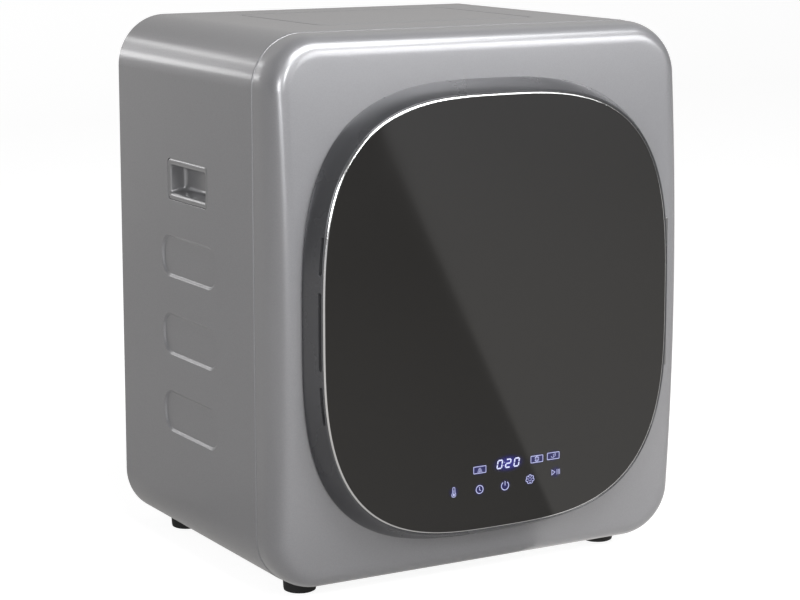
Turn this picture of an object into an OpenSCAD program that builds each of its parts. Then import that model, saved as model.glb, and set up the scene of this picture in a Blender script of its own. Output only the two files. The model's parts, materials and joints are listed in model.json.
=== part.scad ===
// Compact front-loading vented tumble dryer.
// X is to the right seen from the front, Y goes to the back, Z is up, in millimetres.
// The origin lies on the floor under the middle of the machine, exhaust spigot included.

/* [Cabinet] */
// Height over everything, feet included
total_h = 690; // [670:1:730]
// Width of the side walls, outside
cabinet_w = 584; // [575:1:620]
// Depth from the upper edge of the fascia to the back
cabinet_d = 440; // [430:1:480]
// Radius of the four long edges of the cabinet
corner_r = 66; // [60:1:72]
// Wall of the moulded housing
shell_t = 3; // [2.6:0.1:3.6]
// Height of the feet under the housing
foot_h = 15; // [10:1:18]
// Radius of a foot
foot_r = 21; // [16:1:23]
// Distance from the side wall to the middle of a foot
foot_side = 70; // [68:1:90]
// Distance from the front edge to the middle of a front foot
foot_front = 68; // [68:1:90]
// Distance from the back to the middle of a rear foot
foot_rear = 40; // [26:1:60]

/* [Fascia] */
// Depth of the fascia at its upper edge
fascia_d = 45; // [42:1:46]
// Height of the crown of the front face, middle against edge
crown = 20; // [14:1:24]
// Width that the rounded rim takes from the front face
rim_w = 18.5; // [15:0.5:20]
// Depth that the rounded rim takes from the side
rim_d = 33; // [26:1:36]
// Wall of the fascia
fascia_t = 3; // [2.5:0.1:3.4]
// Length of the lip that slides into the housing
lap = 10; // [8:1:12]
// Gap of the joint between the fascia and the housing
seam = 0.8; // [0.4:0.1:1.2]

/* [Door] */
// Distance from the crown of the fascia to the face of the glass
door_proud = 26; // [24:1:32]
// Flat strip of the fascia left beside the door
door_side = 11.5; // [11:0.5:14]
// Flat strip of the fascia left over the door
door_top = 41.5; // [38:1:50]
// Flat strip of the fascia left under the door
door_foot = 26.5; // [24:1:36]
// Width of the sloping frame, seen from the front at the sides
slope_w = 18; // [16:0.5:21]
// Width of the sloping frame, seen from the front at top and bottom
slope_h = 18; // [16:0.5:21]
// Roundness of the door's outline, 2 is an ellipse
door_n = 3; // [2.8:0.05:3.4]
// Roundness of the glass's outline
glass_n = 3.12; // [2.9:0.02:3.4]
// Wall of the door frame
frame_t = 3; // [2.5:0.1:3.5]
// Thickness of the glass
glass_t = 4; // [3:0.5:5]
// Width of the bright bezel round the glass
bezel_w = 2.2; // [1.6:0.1:3]
// Gap between the door frame and the fascia
door_gap = 1; // [0.8:0.1:2]
// Length of the hinge barrel
hinge_l = 190; // [160:10:200]
// Radius of the hinge barrel
hinge_r = 4.5; // [4:0.1:4.8]
// Radius of the hinge pin
hinge_pin_r = 2; // [1.5:0.1:2.5]

/* [Drum] */
// Space between the drum and the side wall
drum_side = 28; // [26:1:36]
// Sheet of the drum
drum_t = 1; // [0.8:0.1:1.2]
// Land between the door's opening and the loading throat
throat_land = 83; // [78:1:93]
// Space under the drum for the belt drive
drum_lift = 66; // [64:1:80]
// Distance from the fascia's edge to the front bulkhead
bulkhead_at = 58; // [58:1:62]
// Space between the drum and the back of the machine
rear_space = 49; // [47:1:56]
// Height of a lifter
lifter_h = 52; // [40:1:60]
// Width of a lifter at its foot
lifter_w = 70; // [60:1:80]
// Number of lifters
lifters = 3;
// Radius of the drum shaft
shaft_r = 12; // [10:1:14]

/* [Drive and air] */
// Radius of the motor's can
motor_r = 46; // [40:1:48]
// Length of the motor's can
motor_l = 100; // [90:1:110]
// Radius of the motor shaft
spindle_r = 5; // [4:0.5:6]
// Radius of the belt pulley on the motor
pulley_r = 10; // [9:0.5:12]
// Radius of the idler wheel
idler_r = 14; // [12:0.5:15]
// Width of the drum belt
belt_w = 9; // [7:1:10]
// Thickness of the drum belt
belt_t = 2; // [1.6:0.1:2.4]
// Largest radius of the blower's scroll
scroll_r = 74; // [70:1:76]
// Growth of the scroll's radius over its turn
scroll_grow = 18; // [14:1:18]
// Width of the blower housing
scroll_w = 26; // [24:1:26]
// Number of blower vanes
vanes = 24; // [18:1:30]
// Radius of the exhaust duct, a nominal 100 mm hose clips over the spigot
duct_r = 46; // [44:1:48]
// Outside radius of the exhaust spigot
spigot_r = 49; // [48:0.5:50]
// Length of the exhaust spigot behind the machine
spigot_l = 30; // [25:1:40]

/* [Side and top] */
// Length of the carry handle's flange
handle_l = 113; // [100:1:120]
// Height of the carry handle's flange
handle_h = 52; // [48:1:56]
// Depth of the carry handle's pocket
handle_d = 24; // [20:1:26]
// Distance from the roof to the middle of the handle
handle_drop = 197.5; // [190:1:210]
// Length of a recess in the side
pad_l = 165; // [140:1:180]
// Height of a recess in the side
pad_h = 65; // [55:1:72]
// Spacing of the recesses in the side
pad_pitch = 101; // [90:1:106]
// Distance from the roof to the middle of the first recess
pad_drop = 301; // [295:1:310]
// Depth of the recesses in the side and the roof
recess = 4; // [2:0.5:5]
// Width of the recess in the roof
roof_w = 316; // [280:1:340]
// Length of the recess in the roof
roof_l = 236; // [200:1:250]
// Distance from the front edge to the middle of the side details
side_mid = 236; // [220:1:245]

/* [Hidden] */
$fn = 64;
seat = 0.3; // gap left between two pieces that rest on each other
slip = 0.05; // radial clearance of a shaft in its bush
sheet = 1.2; // steel sheet of the inner panels

depth = door_proud + crown + cabinet_d + spigot_l;
y_glass = -depth / 2;
y_apex = y_glass + door_proud;
y_edge = y_apex + crown;
y_seam = y_edge + fascia_d;
y_back = y_edge + cabinet_d;
y_mid = y_edge + side_mid;
half_w = cabinet_w / 2;
half_h = (total_h - foot_h) / 2;
mid_z = foot_h + half_h;
inner_w = half_w - shell_t;
floor_z = foot_h + shell_t;

door_a = half_w - rim_w - door_side;
door_lo = foot_h + rim_w + door_foot;
door_hi = total_h - rim_w - door_top;
door_b = (door_hi - door_lo) / 2;
door_z = (door_hi + door_lo) / 2;
glass_a = door_a - slope_w;
glass_b = door_b - slope_h;
bezel_gap = 0.2;
bezel_step = 0.4; // the glass stands this much in front of the bezel
lip_a = glass_a + bezel_w + 2 * bezel_gap;
lip_b = glass_b + bezel_w + 2 * bezel_gap;
lip_t = 1.6;
y_lip = y_glass + 1.5;
y_ledge = y_glass + glass_t + seat;
ledge_t = 2.5;
ledge_w = 8;
land = 14; // how far the door frame covers the fascia round its opening
open_a = door_a - land;
open_b = door_b - land;
throat_r = open_a - throat_land;
well_d = 8; // depth of the door's well behind the fascia's edge
y_well = y_edge + well_d;
liner_t = 2.5;
y_liner = y_apex - door_gap + 0.5 - liner_t;
y_liner_back = y_liner + liner_t;

hinge_step_in = 1.5; // the barrel's clearance to the foot of the door frame and to the fascia
hinge_x = door_a - hinge_r - hinge_step_in;
hinge_y = y_apex - hinge_r - hinge_step_in;
knuckles = 5;
knuckle_gap = 0.4;
leaf_t = 2;
leaf_reach = 20;
leaf_w = 30;
hinge_notch = hinge_r + 1.2;
slot_gap = 1; // clearance of the hinge arms in their slot in the fascia

drum_z = door_z;
drum_r = min(inner_w - drum_side, drum_z - floor_z - drum_lift);
y_bulkhead = y_edge + bulkhead_at;
drum_y0 = y_bulkhead + sheet + 5;
neck_l = 14;
neck_r = drum_r - 17;
drum_y1 = y_back - rear_space;
felt_t = 3.5;
felt_gap = 0.4;
collar_r = neck_r - drum_t - felt_gap - felt_t - seat;
y_rear_bulkhead = drum_y1 + 6;
rear_inset = 3;
panel_t = 1.5;
y_panel = y_back - rear_inset - panel_t;

scroll_side = 6; // space between the scroll and the side wall
scroll_foot = 12; // space between the scroll and the underside
motor_x = half_w - scroll_r - scroll_side;
motor_z = foot_h + scroll_r + scroll_foot;
y_blower = y_bulkhead - seat - scroll_w;
y_motor = y_bulkhead + sheet + 8;
y_belt = y_motor + motor_l + 16;
exhaust_side = 40;
exhaust_foot = 10;
exhaust_x = -(half_w - duct_r - exhaust_side);
exhaust_z = floor_z + duct_r + exhaust_foot;

// Outline and sweep helpers

// Squircle point at the polar angle t, half sizes a and b, roundness n
function squircle(a, b, n, t) =
    let (r = pow(pow(abs(cos(t)) / a, n) + pow(abs(sin(t)) / b, n), -1 / n))
    [r * cos(t), r * sin(t)];

turn_steps = 96;
turn_angles = [for (i = [0:turn_steps - 1]) i * 360 / turn_steps];
function squircle_path(a, b, n) = [for (t = turn_angles) squircle(a, b, n, t)];

// Rounded rectangle about the origin: one quarter, then its three reflections
corner_steps = 9;
side_steps = 4;
function quarter(a, b, r) = concat(
    [for (j = [0:side_steps - 1]) [a, (b - r) * j / side_steps]],
    [for (j = [0:corner_steps])
        [a - r + r * cos(90 * j / corner_steps), b - r + r * sin(90 * j / corner_steps)]],
    [for (j = [side_steps - 1:-1:0]) [(a - r) * j / side_steps, b]]);
function rounded(a, b, r) = let (q = quarter(a, b, r), n = len(q)) concat(
    q,
    [for (i = [n - 2:-1:0]) [-q[i].x, q[i].y]],
    [for (i = [1:n - 1]) [-q[i].x, -q[i].y]],
    [for (i = [n - 2:-1:1]) [q[i].x, -q[i].y]]);

// Cabinet section, moved inwards by inset
function cabinet_path(inset) =
    [for (p = rounded(half_w - inset, half_h - inset, corner_r - inset)) [p.x, p.y + mid_z]];

// Forward bulge of the front face at the height z
function crown_at(z) = crown * max(0, 1 - pow((z - mid_z) / half_h, 2));

// Closed skin through a ring of profiles with equally many points
module ring_loft(profiles) {
    n = len(profiles);
    m = len(profiles[0]);
    polyhedron(
        points = [for (p = profiles) each p],
        faces = [for (i = [0:n - 1], k = [0:m - 1])
            let (a = i * m + k, b = i * m + (k + 1) % m,
                c = ((i + 1) % n) * m + (k + 1) % m, d = ((i + 1) % n) * m + k)
            each [[a, b, c], [a, c, d]]]);
}

// Extrudes an X-Z outline from y0 backwards
module along_y(y0, length) {
    translate([0, y0 + length, 0]) rotate([90, 0, 0]) linear_extrude(length) children();
}

// Extrudes a Y-Z outline from x0 to the right
module along_x(x0, length) {
    translate([x0, 0, 0]) rotate([90, 0, 90]) linear_extrude(length) children();
}

// Turns a radius and depth outline round an axis along Y through x and z
module turned(x, z, outline) {
    translate([x, 0, z]) rotate([-90, 0, 0]) rotate_extrude($fn = 96) polygon(outline);
}

module rod_y(x, z, y0, length, r) {
    translate([x, y0, z]) rotate([-90, 0, 0]) cylinder(r = r, h = length);
}

module tube_y(x, z, y0, length, r_out, r_in) {
    turned(x, z, [[r_in, y0], [r_out, y0], [r_out, y0 + length], [r_in, y0 + length]]);
}

module box(x, y, z) {
    translate([x[0], y[0], z[0]]) cube([x[1] - x[0], y[1] - y[0], z[1] - z[0]]);
}

module slab(l, h, r) {
    polygon(rounded(l / 2, h / 2, r));
}

// Cabinet

pad_r = 24;
roof_r = 14;
roof_at = 136; // distance from the front edge to the recess in the roof
handle_r = 8;
rebate = 2;
pocket_lip = 6;
screw_inset = 5;
boss_r = 6;
screw_shank_r = 1.6;
screw_places = [[half_w - 60, total_h - shell_t - screw_inset], [0, total_h - shell_t - screw_inset],
    [inner_w - screw_inset, mid_z + 130], [inner_w - screw_inset, mid_z - 130]];

module both_sides() {
    children();
    mirror([1, 0, 0]) children();
}

module side_recess(x0, x1, l, h, r, z) {
    along_x(x0, x1 - x0) translate([y_mid, z]) slab(l, h, r);
}

module roof_recess(z0, z1, grow) {
    translate([0, y_edge + roof_at + roof_l / 2, z0]) linear_extrude(z1 - z0)
        slab(roof_w + 2 * grow, roof_l + 2 * grow, roof_r + grow);
}

pad_list = [for (i = [0:2]) total_h - pad_drop - i * pad_pitch];
handle_z = total_h - handle_drop;
vent_count = 9;
vent_pitch = 16;
vent_l = 90;
vent_w = 5;

module housing() {
    color([0.62, 0.63, 0.65]) difference() {
        union() {
            difference() {
                along_y(y_seam + seam, y_back - y_seam - seam) polygon(cabinet_path(0));
                along_y(y_seam, y_back - y_seam + 1) polygon(cabinet_path(shell_t));
            }
            both_sides() for (z = pad_list)
                side_recess(-inner_w - 0.1, -inner_w + recess, pad_l + 2 * shell_t, pad_h + 2 * shell_t,
                    pad_r + shell_t, z);
            roof_recess(total_h - shell_t - recess, total_h - shell_t + 0.1, shell_t);
            both_sides() for (p = screw_places)
                rod_y(p.x, p.y, y_panel - 16 - seat, 16, boss_r);
        }
        both_sides() {
            for (z = pad_list) side_recess(-half_w - 1, -half_w + recess, pad_l, pad_h, pad_r, z);
            side_recess(-half_w - 1, -half_w + rebate, handle_l + 2 * seat, handle_h + 2 * seat,
                handle_r + seat, handle_z);
            side_recess(-half_w, -inner_w + 1, handle_l - 2 * pocket_lip + 2 * seat,
                handle_h - 2 * pocket_lip + 2 * seat, handle_r, handle_z);
            for (p = screw_places) rod_y(p.x, p.y, y_panel - 13, 14, screw_shank_r);
        }
        roof_recess(total_h - recess, total_h + 1, 0);
        for (i = [0:vent_count - 1])
            box([(i - (vent_count - 1) / 2) * vent_pitch - vent_w / 2,
                (i - (vent_count - 1) / 2) * vent_pitch + vent_w / 2],
                [y_mid - vent_l / 2, y_mid + vent_l / 2], [foot_h - 1, floor_z + 1]);
    }
}

// One radial section of the fascia, at point i of the cabinet's outline
rim_steps = 6;
lip_gap = 0.4;
lip_wall = 2;
function outline_at(inset, i) = cabinet_path(inset)[i];
function face_point(p, y, k) = [p.x, y - k * crown_at(p.y), p.y];
function opening_point(p, grow, y, k) =
    let (q = squircle(open_a + grow, open_b + grow, door_n, atan2(p.y - door_z, p.x)),
        r = [q.x, q.y + door_z])
    face_point(r, y, k);

module front_fascia() {
    outer = [for (j = [0:rim_steps]) cabinet_path(rim_w * (1 - cos(90 * j / rim_steps)))];
    inner = [for (j = [0:rim_steps])
        cabinet_path(fascia_t + (rim_w - fascia_t) * (1 - cos(90 * j / rim_steps)))];
    edge = cabinet_path(0);
    lip_out = cabinet_path(shell_t + lip_gap);
    lip_in = cabinet_path(shell_t + lip_gap + lip_wall);
    y_rim = y_edge + rim_d;
    profiles = [for (i = [0:len(edge) - 1]) concat(
        [face_point(edge[i], y_seam, 0)],
        [for (j = [0:rim_steps]) let (s = sin(90 * j / rim_steps))
            face_point(outer[j][i], y_rim - rim_d * s, 0.25 + 0.75 * s)],
        [opening_point(edge[i], 0, y_edge, 1), opening_point(edge[i], 0, y_well, 0),
            opening_point(edge[i], fascia_t, y_well, 0),
            opening_point(edge[i], fascia_t, y_edge + fascia_t, 1)],
        [for (j = [rim_steps:-1:0]) let (s = sin(90 * j / rim_steps))
            face_point(inner[j][i], y_rim - (rim_d - fascia_t) * s, 0.25 + 0.75 * s)],
        [face_point(lip_in[i], y_rim + 6, 0), face_point(lip_in[i], y_seam + lap, 0),
            face_point(lip_out[i], y_seam + lap, 0), face_point(lip_out[i], y_seam, 0)])];
    color([0.7, 0.71, 0.73]) difference() {
        ring_loft(profiles);
        box([hinge_x - leaf_t / 2 - slot_gap, hinge_x + leaf_t / 2 + slot_gap], [y_apex - 1, y_edge],
            [door_z - hinge_l / 2 - 1, door_z + hinge_l / 2 + 1]);
    }
}

// Rear panel with louvres for the heater's air

louvre_rows = 9;
louvre_w = 70;
louvre_pitch = 15;
louvre_h = 7;
gland_side = 172; // distance from the side wall to the cord gland
gland_x = half_w - gland_side;
gland_z = 62;
gland_r = 9;
heater_side = 142; // distance from the side wall to the middle of the heater
heater_up = 40;
heater_x = half_w - heater_side;
heater_z = drum_z + heater_up;

module louvre(x, z) {
    wall = 1;
    along_x(x - louvre_w / 2, louvre_w)
        polygon([[y_panel + panel_t - 0.2, z + louvre_h], [y_back - 0.2, z],
            [y_back - 0.2 - wall, z], [y_panel + panel_t - 0.2, z + louvre_h - wall * 2]]);
}

module rear_panel() {
    color([0.55, 0.56, 0.58]) difference() {
        union() {
            along_y(y_panel, panel_t) polygon(cabinet_path(shell_t + lip_gap));
            for (i = [0:louvre_rows - 1]) louvre(heater_x, heater_z - 60 + i * louvre_pitch);
        }
        for (i = [0:louvre_rows - 1])
            box([heater_x - louvre_w / 2 + 1, heater_x + louvre_w / 2 - 1],
                [y_panel - 1, y_panel + panel_t + 0.1],
                [heater_z - 60 + i * louvre_pitch, heater_z - 60 + i * louvre_pitch + louvre_h - 3]);
        rod_y(exhaust_x, exhaust_z, y_panel - 1, panel_t + 2, duct_r + seat);
        rod_y(gland_x, gland_z, y_panel - 1, panel_t + 2, gland_r + seat);
        both_sides() for (p = screw_places) rod_y(p.x, p.y, y_panel - 1, panel_t + 2, screw_shank_r + 0.3);
    }
}

module rear_screws() {
    color([0.75, 0.75, 0.76]) both_sides() for (p = screw_places)
        if (p.x > 0) {
            rod_y(p.x, p.y, y_panel + panel_t, 2, 3.6);
            rod_y(p.x, p.y, y_panel - 10, 10 + panel_t + 1, screw_shank_r - 0.1);
        }
    color([0.75, 0.75, 0.76]) {
        rod_y(0, screw_places[1].y, y_panel + panel_t, 2, 3.6);
        rod_y(0, screw_places[1].y, y_panel - 10, 10 + panel_t + 1, screw_shank_r - 0.1);
    }
}

module handle_pocket() {
    wall = 2;
    difference() {
        union() {
            side_recess(-half_w, -half_w + rebate - seat, handle_l, handle_h, handle_r, handle_z);
            side_recess(-half_w + 0.5, -half_w + handle_d, handle_l - 2 * pocket_lip,
                handle_h - 2 * pocket_lip, handle_r - 1, handle_z);
        }
        side_recess(-half_w - 1, -half_w + handle_d - wall, handle_l - 2 * pocket_lip - 2 * wall,
            handle_h - 2 * pocket_lip - 2 * wall, handle_r - 2, handle_z);
    }
}

module handle_pocket_left() { color([0.6, 0.61, 0.63]) handle_pocket(); }
module handle_pocket_right() { color([0.6, 0.61, 0.63]) mirror([1, 0, 0]) handle_pocket(); }

module foot(side, y) {
    color([0.06, 0.06, 0.06]) translate([side * (half_w - foot_side), y, 0])
        rotate_extrude() polygon([[0, 1.5], [foot_r * 0.45, 1.5], [foot_r * 0.55, 0], [foot_r - 3, 0],
            [foot_r - 1.2, 1], [foot_r - 0.6, 3.5], [foot_r, foot_h - 3], [foot_r, foot_h], [0, foot_h]]);
}
module foot_front_left() { foot(-1, y_edge + foot_front); }
module foot_front_right() { foot(1, y_edge + foot_front); }
module foot_rear_left() { foot(-1, y_back - foot_rear); }
module foot_rear_right() { foot(1, y_back - foot_rear); }

tray_half = half_w - corner_r - 2;
tray_z = floor_z + seat;
tray_y0 = y_bulkhead + sheet + 4;
tray_rim = 8;
rib_half = 9;
rib_clear = 23; // clearance from the tray's outer rib to the foot of the idler's arm

module base_tray() {
    y1 = y_rear_bulkhead - 2 * seat;
    color([0.7, 0.71, 0.72]) {
        difference() {
            box([-tray_half, tray_half], [tray_y0, y1], [tray_z, tray_z + tray_rim]);
            box([-tray_half + sheet, tray_half - sheet], [tray_y0 + sheet, y1 - sheet],
                [tray_z + sheet, tray_z + tray_rim + 1]);
        }
        for (i = [-1:1]) translate([i * (pivot_x - arm_foot - rib_half - rib_clear), 0, 0])
            along_y(tray_y0 + 30, y1 - tray_y0 - 60)
                polygon([[-rib_half, tray_z + sheet], [rib_half, tray_z + sheet],
                    [5, tray_z + 5], [-5, tray_z + 5]]);
    }
}

// Door side of the cabinet

collar_y = y_well - 16;
seal_land = 27;
slot_half = throat_r - 63;
slot_y0 = y_bulkhead - 22.5;
slot_w = 16;
latch_in = 33; // distance of the latch from the edge of the opening
latch_x = -(open_a - latch_in);
latch_w = 6;
latch_h = 24;
latch_back = 13; // length of the tongue behind the surround
latch_swing = 4; // the tongue sweeps outwards this far as the door swings

module door_surround() {
    y0 = y_well + seat;
    r1 = throat_r + 2.5;
    color([0.5, 0.51, 0.53]) difference() {
        union() {
            along_y(y0, 2.5) translate([0, door_z]) polygon(squircle_path(open_a + 6, open_b + 6, door_n));
            turned(0, door_z, [[throat_r, collar_y], [throat_r + seal_land, collar_y],
                [throat_r + seal_land, y0 + 1], [throat_r + seal_land - 2.5, y0 + 1],
                [throat_r + seal_land - 2.5, collar_y + 2.5], [r1, collar_y + 2.5],
                [r1, y_bulkhead - 1], [throat_r, y_bulkhead - 1]]);
        }
        rod_y(0, door_z, y0 - 1, 5, throat_r + 1);
        box([-slot_half, slot_half], [slot_y0, slot_y0 + slot_w], [door_z - r1 - 10, door_z - throat_r / 2]);
        box([latch_x - latch_w / 2 - latch_swing - 1, latch_x + latch_w / 2 + 1.5], [y0 - 1, y0 + 4],
            [door_z - latch_h / 2 - 1.5, door_z + latch_h / 2 + 1.5]);
    }
}

lip_reach = 17;
module door_seal() {
    r0 = throat_r + 6;
    y0 = y_liner_back + seat;
    y1 = collar_y - seat;
    color([0.18, 0.18, 0.19]) turned(0, door_z, [[r0, y1], [r0, y1 - 2.5], [r0 + 4, y1 - 4],
        [r0 + 1, y0 + 3], [r0 + 4, y0], [r0 + 9, y0], [r0 + 12, y0 + 3], [r0 + 11, y1 - 4],
        [r0 + lip_reach, y1 - 2.5], [r0 + lip_reach, y1]]);
}

collar_l = 19; // length of the collar that carries the drum's front felt
felt_l = 15;
shaft_hole = 16;
module front_bulkhead() {
    color([0.72, 0.73, 0.74]) difference() {
        union() {
            along_y(y_bulkhead, sheet) polygon(cabinet_path(shell_t + lip_gap));
            tube_y(0, drum_z, y_bulkhead, collar_l, collar_r, collar_r - sheet);
        }
        rod_y(0, drum_z, y_bulkhead - 1, sheet + 2, throat_r + 3);
        rod_y(motor_x, motor_z, y_bulkhead - 1, sheet + 2, shaft_hole);
        rod_y(exhaust_x, exhaust_z, y_bulkhead - 1, sheet + 2, duct_r + seat);
    }
}

module drum_front_felt() {
    color([0.85, 0.83, 0.76])
        tube_y(0, drum_z, y_bulkhead + collar_l - felt_l, felt_l, collar_r + seat + felt_t, collar_r + seat);
}

hinge_step = hinge_l / knuckles;
function knuckle_z(i) = door_z - hinge_l / 2 + i * hinge_step;

module hinge_knuckle(i) {
    translate([hinge_x, hinge_y, knuckle_z(i) + knuckle_gap / 2])
        cylinder(r = hinge_r, h = hinge_step - knuckle_gap);
}

module hinge_bore() {
    translate([hinge_x, hinge_y, door_z - hinge_l / 2 - 1])
        cylinder(r = hinge_pin_r + slip, h = hinge_l + 2);
}

plate_w = 15;
module hinge_bracket() {
    y_plate = y_edge - crown_at(door_z - hinge_l / 2) + fascia_t + seat;
    x0 = hinge_x - leaf_t / 2;
    color([0.42, 0.43, 0.45]) difference() {
        union() {
            for (i = [0:2:knuckles - 1]) {
                hinge_knuckle(i);
                box([x0, x0 + leaf_t], [hinge_y, y_plate + 1],
                    [knuckle_z(i) + knuckle_gap / 2, knuckle_z(i + 1) - knuckle_gap / 2]);
            }
            box([x0, x0 + plate_w], [y_plate, y_plate + leaf_t],
                [door_z - hinge_l / 2 + knuckle_gap / 2, door_z + hinge_l / 2 - knuckle_gap / 2]);
        }
        hinge_bore();
    }
}

module hinge_leaf() {
    y1 = y_liner - seat;
    color([0.42, 0.43, 0.45]) difference() {
        union() {
            for (i = [1:2:knuckles - 1]) {
                hinge_knuckle(i);
                box([hinge_x - leaf_reach, hinge_x], [y1 - leaf_t, y1],
                    [knuckle_z(i) + knuckle_gap / 2, knuckle_z(i + 1) - knuckle_gap / 2]);
            }
            box([hinge_x - leaf_reach - leaf_w + 6, hinge_x - leaf_reach + 6], [y1 - leaf_t, y1],
                [door_z - hinge_l / 2 + 6, door_z + hinge_l / 2 - 6]);
        }
        hinge_bore();
    }
}

module hinge_pin() {
    color([0.8, 0.8, 0.8]) translate([hinge_x, hinge_y, door_z - hinge_l / 2])
        cylinder(r = hinge_pin_r, h = hinge_l);
    color([0.8, 0.8, 0.8]) translate([hinge_x, hinge_y, door_z + hinge_l / 2])
        cylinder(r = hinge_pin_r + 1.5, h = 2);
}

catch_y0 = y_well + seat + 2.5 + seat;
catch_y1 = y_well + latch_back + 8;

module door_catch() {
    x0 = latch_x - latch_w / 2 - latch_swing - 4;
    x1 = latch_x + latch_w / 2 + 5;
    color([0.1, 0.1, 0.11]) difference() {
        box([x0, x1], [catch_y0, catch_y1], [door_z - latch_h / 2 - 5, door_z + latch_h / 2 + 5]);
        box([x0 + 2.5, x1 - 2.5], [catch_y0 - 1, catch_y1 - 2.5],
            [door_z - latch_h / 2 - 2, door_z + latch_h / 2 + 2]);
        rod_y(latch_x, door_z, catch_y1 - 4, 6, 3.5);
    }
}

module door_switch() {
    color([0.25, 0.25, 0.26]) difference() {
        box([latch_x - 8, latch_x + 8], [catch_y1 + seat, catch_y1 + 16], [door_z - 14, door_z + 14]);
        rod_y(latch_x, door_z, catch_y1 - 1, 12, 3.2);
    }
}

plunger_travel = 3;
module switch_plunger() {
    y0 = y_well + latch_back + 0.5;
    color([0.85, 0.2, 0.15]) rod_y(latch_x, door_z, y0, catch_y1 + seat + 5 - y0, 3);
}

// Door

// One point of the frame's skin: s runs from the fascia, 0, to the glass, 1
function frame_point(t, s, grow) =
    let (b = squircle(door_a + grow, door_b + grow, door_n, t),
        g = squircle(lip_a + lip_t + grow, lip_b + lip_t + grow, glass_n, t),
        k = pow(s, 1.3), y0 = y_edge - crown_at(b.y + door_z) - door_gap, p = b + (g - b) * k)
    [p.x, y0 + (y_lip - y0) * s, p.y + door_z];
// The same skin cut by the plane at y
function frame_at(t, y, grow) =
    let (b = squircle(door_a, door_b, door_n, t), y0 = y_edge - crown_at(b.y + door_z) - door_gap)
    frame_point(t, max(0, (y - y0) / (y_lip - y0)), grow);
function flat_point(a, b, t, y) = let (q = squircle(a, b, glass_n, t)) [q.x, y, q.y + door_z];

// Space for the hinge barrel in the side of the door
module hinge_recess() {
    translate([hinge_x, hinge_y, door_z - hinge_l / 2 - 2]) cylinder(r = hinge_notch, h = hinge_l + 6);
    box([hinge_x - hinge_notch, door_a + 1], [hinge_y, y_edge],
        [door_z - hinge_l / 2 - 2, door_z + hinge_l / 2 + 4]);
}

grip_slots = [31, 94, 31]; // lengths of the three slots beside the glass
grip_pitch = (grip_slots[0] + grip_slots[1]) / 2 + 19;

module door_frame() {
    profiles = [for (t = turn_angles) concat(
        [for (s = [0, 0.12, 0.3, 0.5, 0.7, 0.88, 1]) frame_point(t, s, 0)],
        [flat_point(lip_a, lip_b, t, y_lip), flat_point(lip_a, lip_b, t, y_ledge),
            flat_point(glass_a - ledge_w, glass_b - ledge_w, t, y_ledge),
            flat_point(glass_a - ledge_w, glass_b - ledge_w, t, y_ledge + ledge_t),
            frame_at(t, y_ledge + ledge_t, -frame_t)],
        [for (s = [0.5, 0.25, 0]) frame_point(t, s, -frame_t)])];
    slot_y = y_lip + 5;
    color([0.24, 0.25, 0.27]) difference() {
        ring_loft(profiles);
        for (i = [-1:1]) let (l = grip_slots[i + 1])
            box([-door_a, -glass_a + 1], [slot_y, slot_y + 4.5],
                [door_z + i * grip_pitch - l / 2, door_z + i * grip_pitch + l / 2]);
        hinge_recess();
        box([hinge_x - leaf_reach, hinge_x], [y_liner - seat - leaf_t - seat, y_apex],
            [door_z - hinge_l / 2 - 2, door_z + hinge_l / 2 + 2]);
    }
}

module door_bezel() {
    color([0.85, 0.86, 0.87]) difference() {
        along_y(y_glass + bezel_step, glass_t - bezel_step) translate([0, door_z])
            polygon(squircle_path(lip_a - bezel_gap, lip_b - bezel_gap, glass_n));
        along_y(y_glass, glass_t + 1) translate([0, door_z])
            polygon(squircle_path(glass_a + bezel_gap, glass_b + bezel_gap, glass_n));
    }
}

module door_glass() {
    color([0.08, 0.08, 0.08]) along_y(y_glass, glass_t) translate([0, door_z])
        polygon(squircle_path(glass_a, glass_b, glass_n));
}

bowl_r = throat_r - 10;
bowl_y1 = slot_y0 - 8;
module door_liner() {
    color([0.45, 0.46, 0.48]) difference() {
        union() {
            along_y(y_liner, liner_t) polygon([for (t = turn_angles)
                let (p = frame_at(t, y_liner, -frame_t - seat - 0.4)) [p.x, p.z]]);
            turned(0, door_z, [[0, y_liner], [bowl_r, y_liner], [bowl_r - 4, y_apex + 8],
                [bowl_r - 8, bowl_y1 - 6], [bowl_r - 14, bowl_y1], [0, bowl_y1]]);
        }
        turned(0, door_z, [[0, y_liner - 1], [bowl_r - liner_t, y_liner - 1],
            [bowl_r - liner_t - 4, y_apex + 8],
            [bowl_r - liner_t - 8, bowl_y1 - 7], [bowl_r - 14, bowl_y1 - liner_t], [0, bowl_y1 - liner_t]]);
        hinge_recess();
    }
}

module latch_tongue() {
    color([0.12, 0.12, 0.13]) {
        box([latch_x - latch_w / 2, latch_x + latch_w / 2], [y_liner_back + seat, y_well + latch_back],
            [door_z - latch_h / 2, door_z + latch_h / 2]);
        box([latch_x - 9, latch_x + 9], [y_liner_back + seat, y_liner_back + 3], [door_z - 20, door_z + 20]);
    }
}

panel_up = 87;
panel_z = door_lo + panel_up; // height of the row of touch symbols' middle
panel_l = 230;
panel_h = 66;
panel_x = 6;
tray_deep = 13;
module control_tray() {
    y0 = y_glass + glass_t + seat;
    color([0.12, 0.12, 0.13]) difference() {
        box([panel_x - panel_l / 2, panel_x + panel_l / 2], [y0, y0 + tray_deep],
            [panel_z - panel_h / 2, panel_z + panel_h / 2]);
        box([panel_x - panel_l / 2 + 2, panel_x + panel_l / 2 - 2], [y0 - 1, y0 + tray_deep - 2],
            [panel_z - panel_h / 2 + 2, panel_z + panel_h / 2 - 2]);
    }
}

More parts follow.
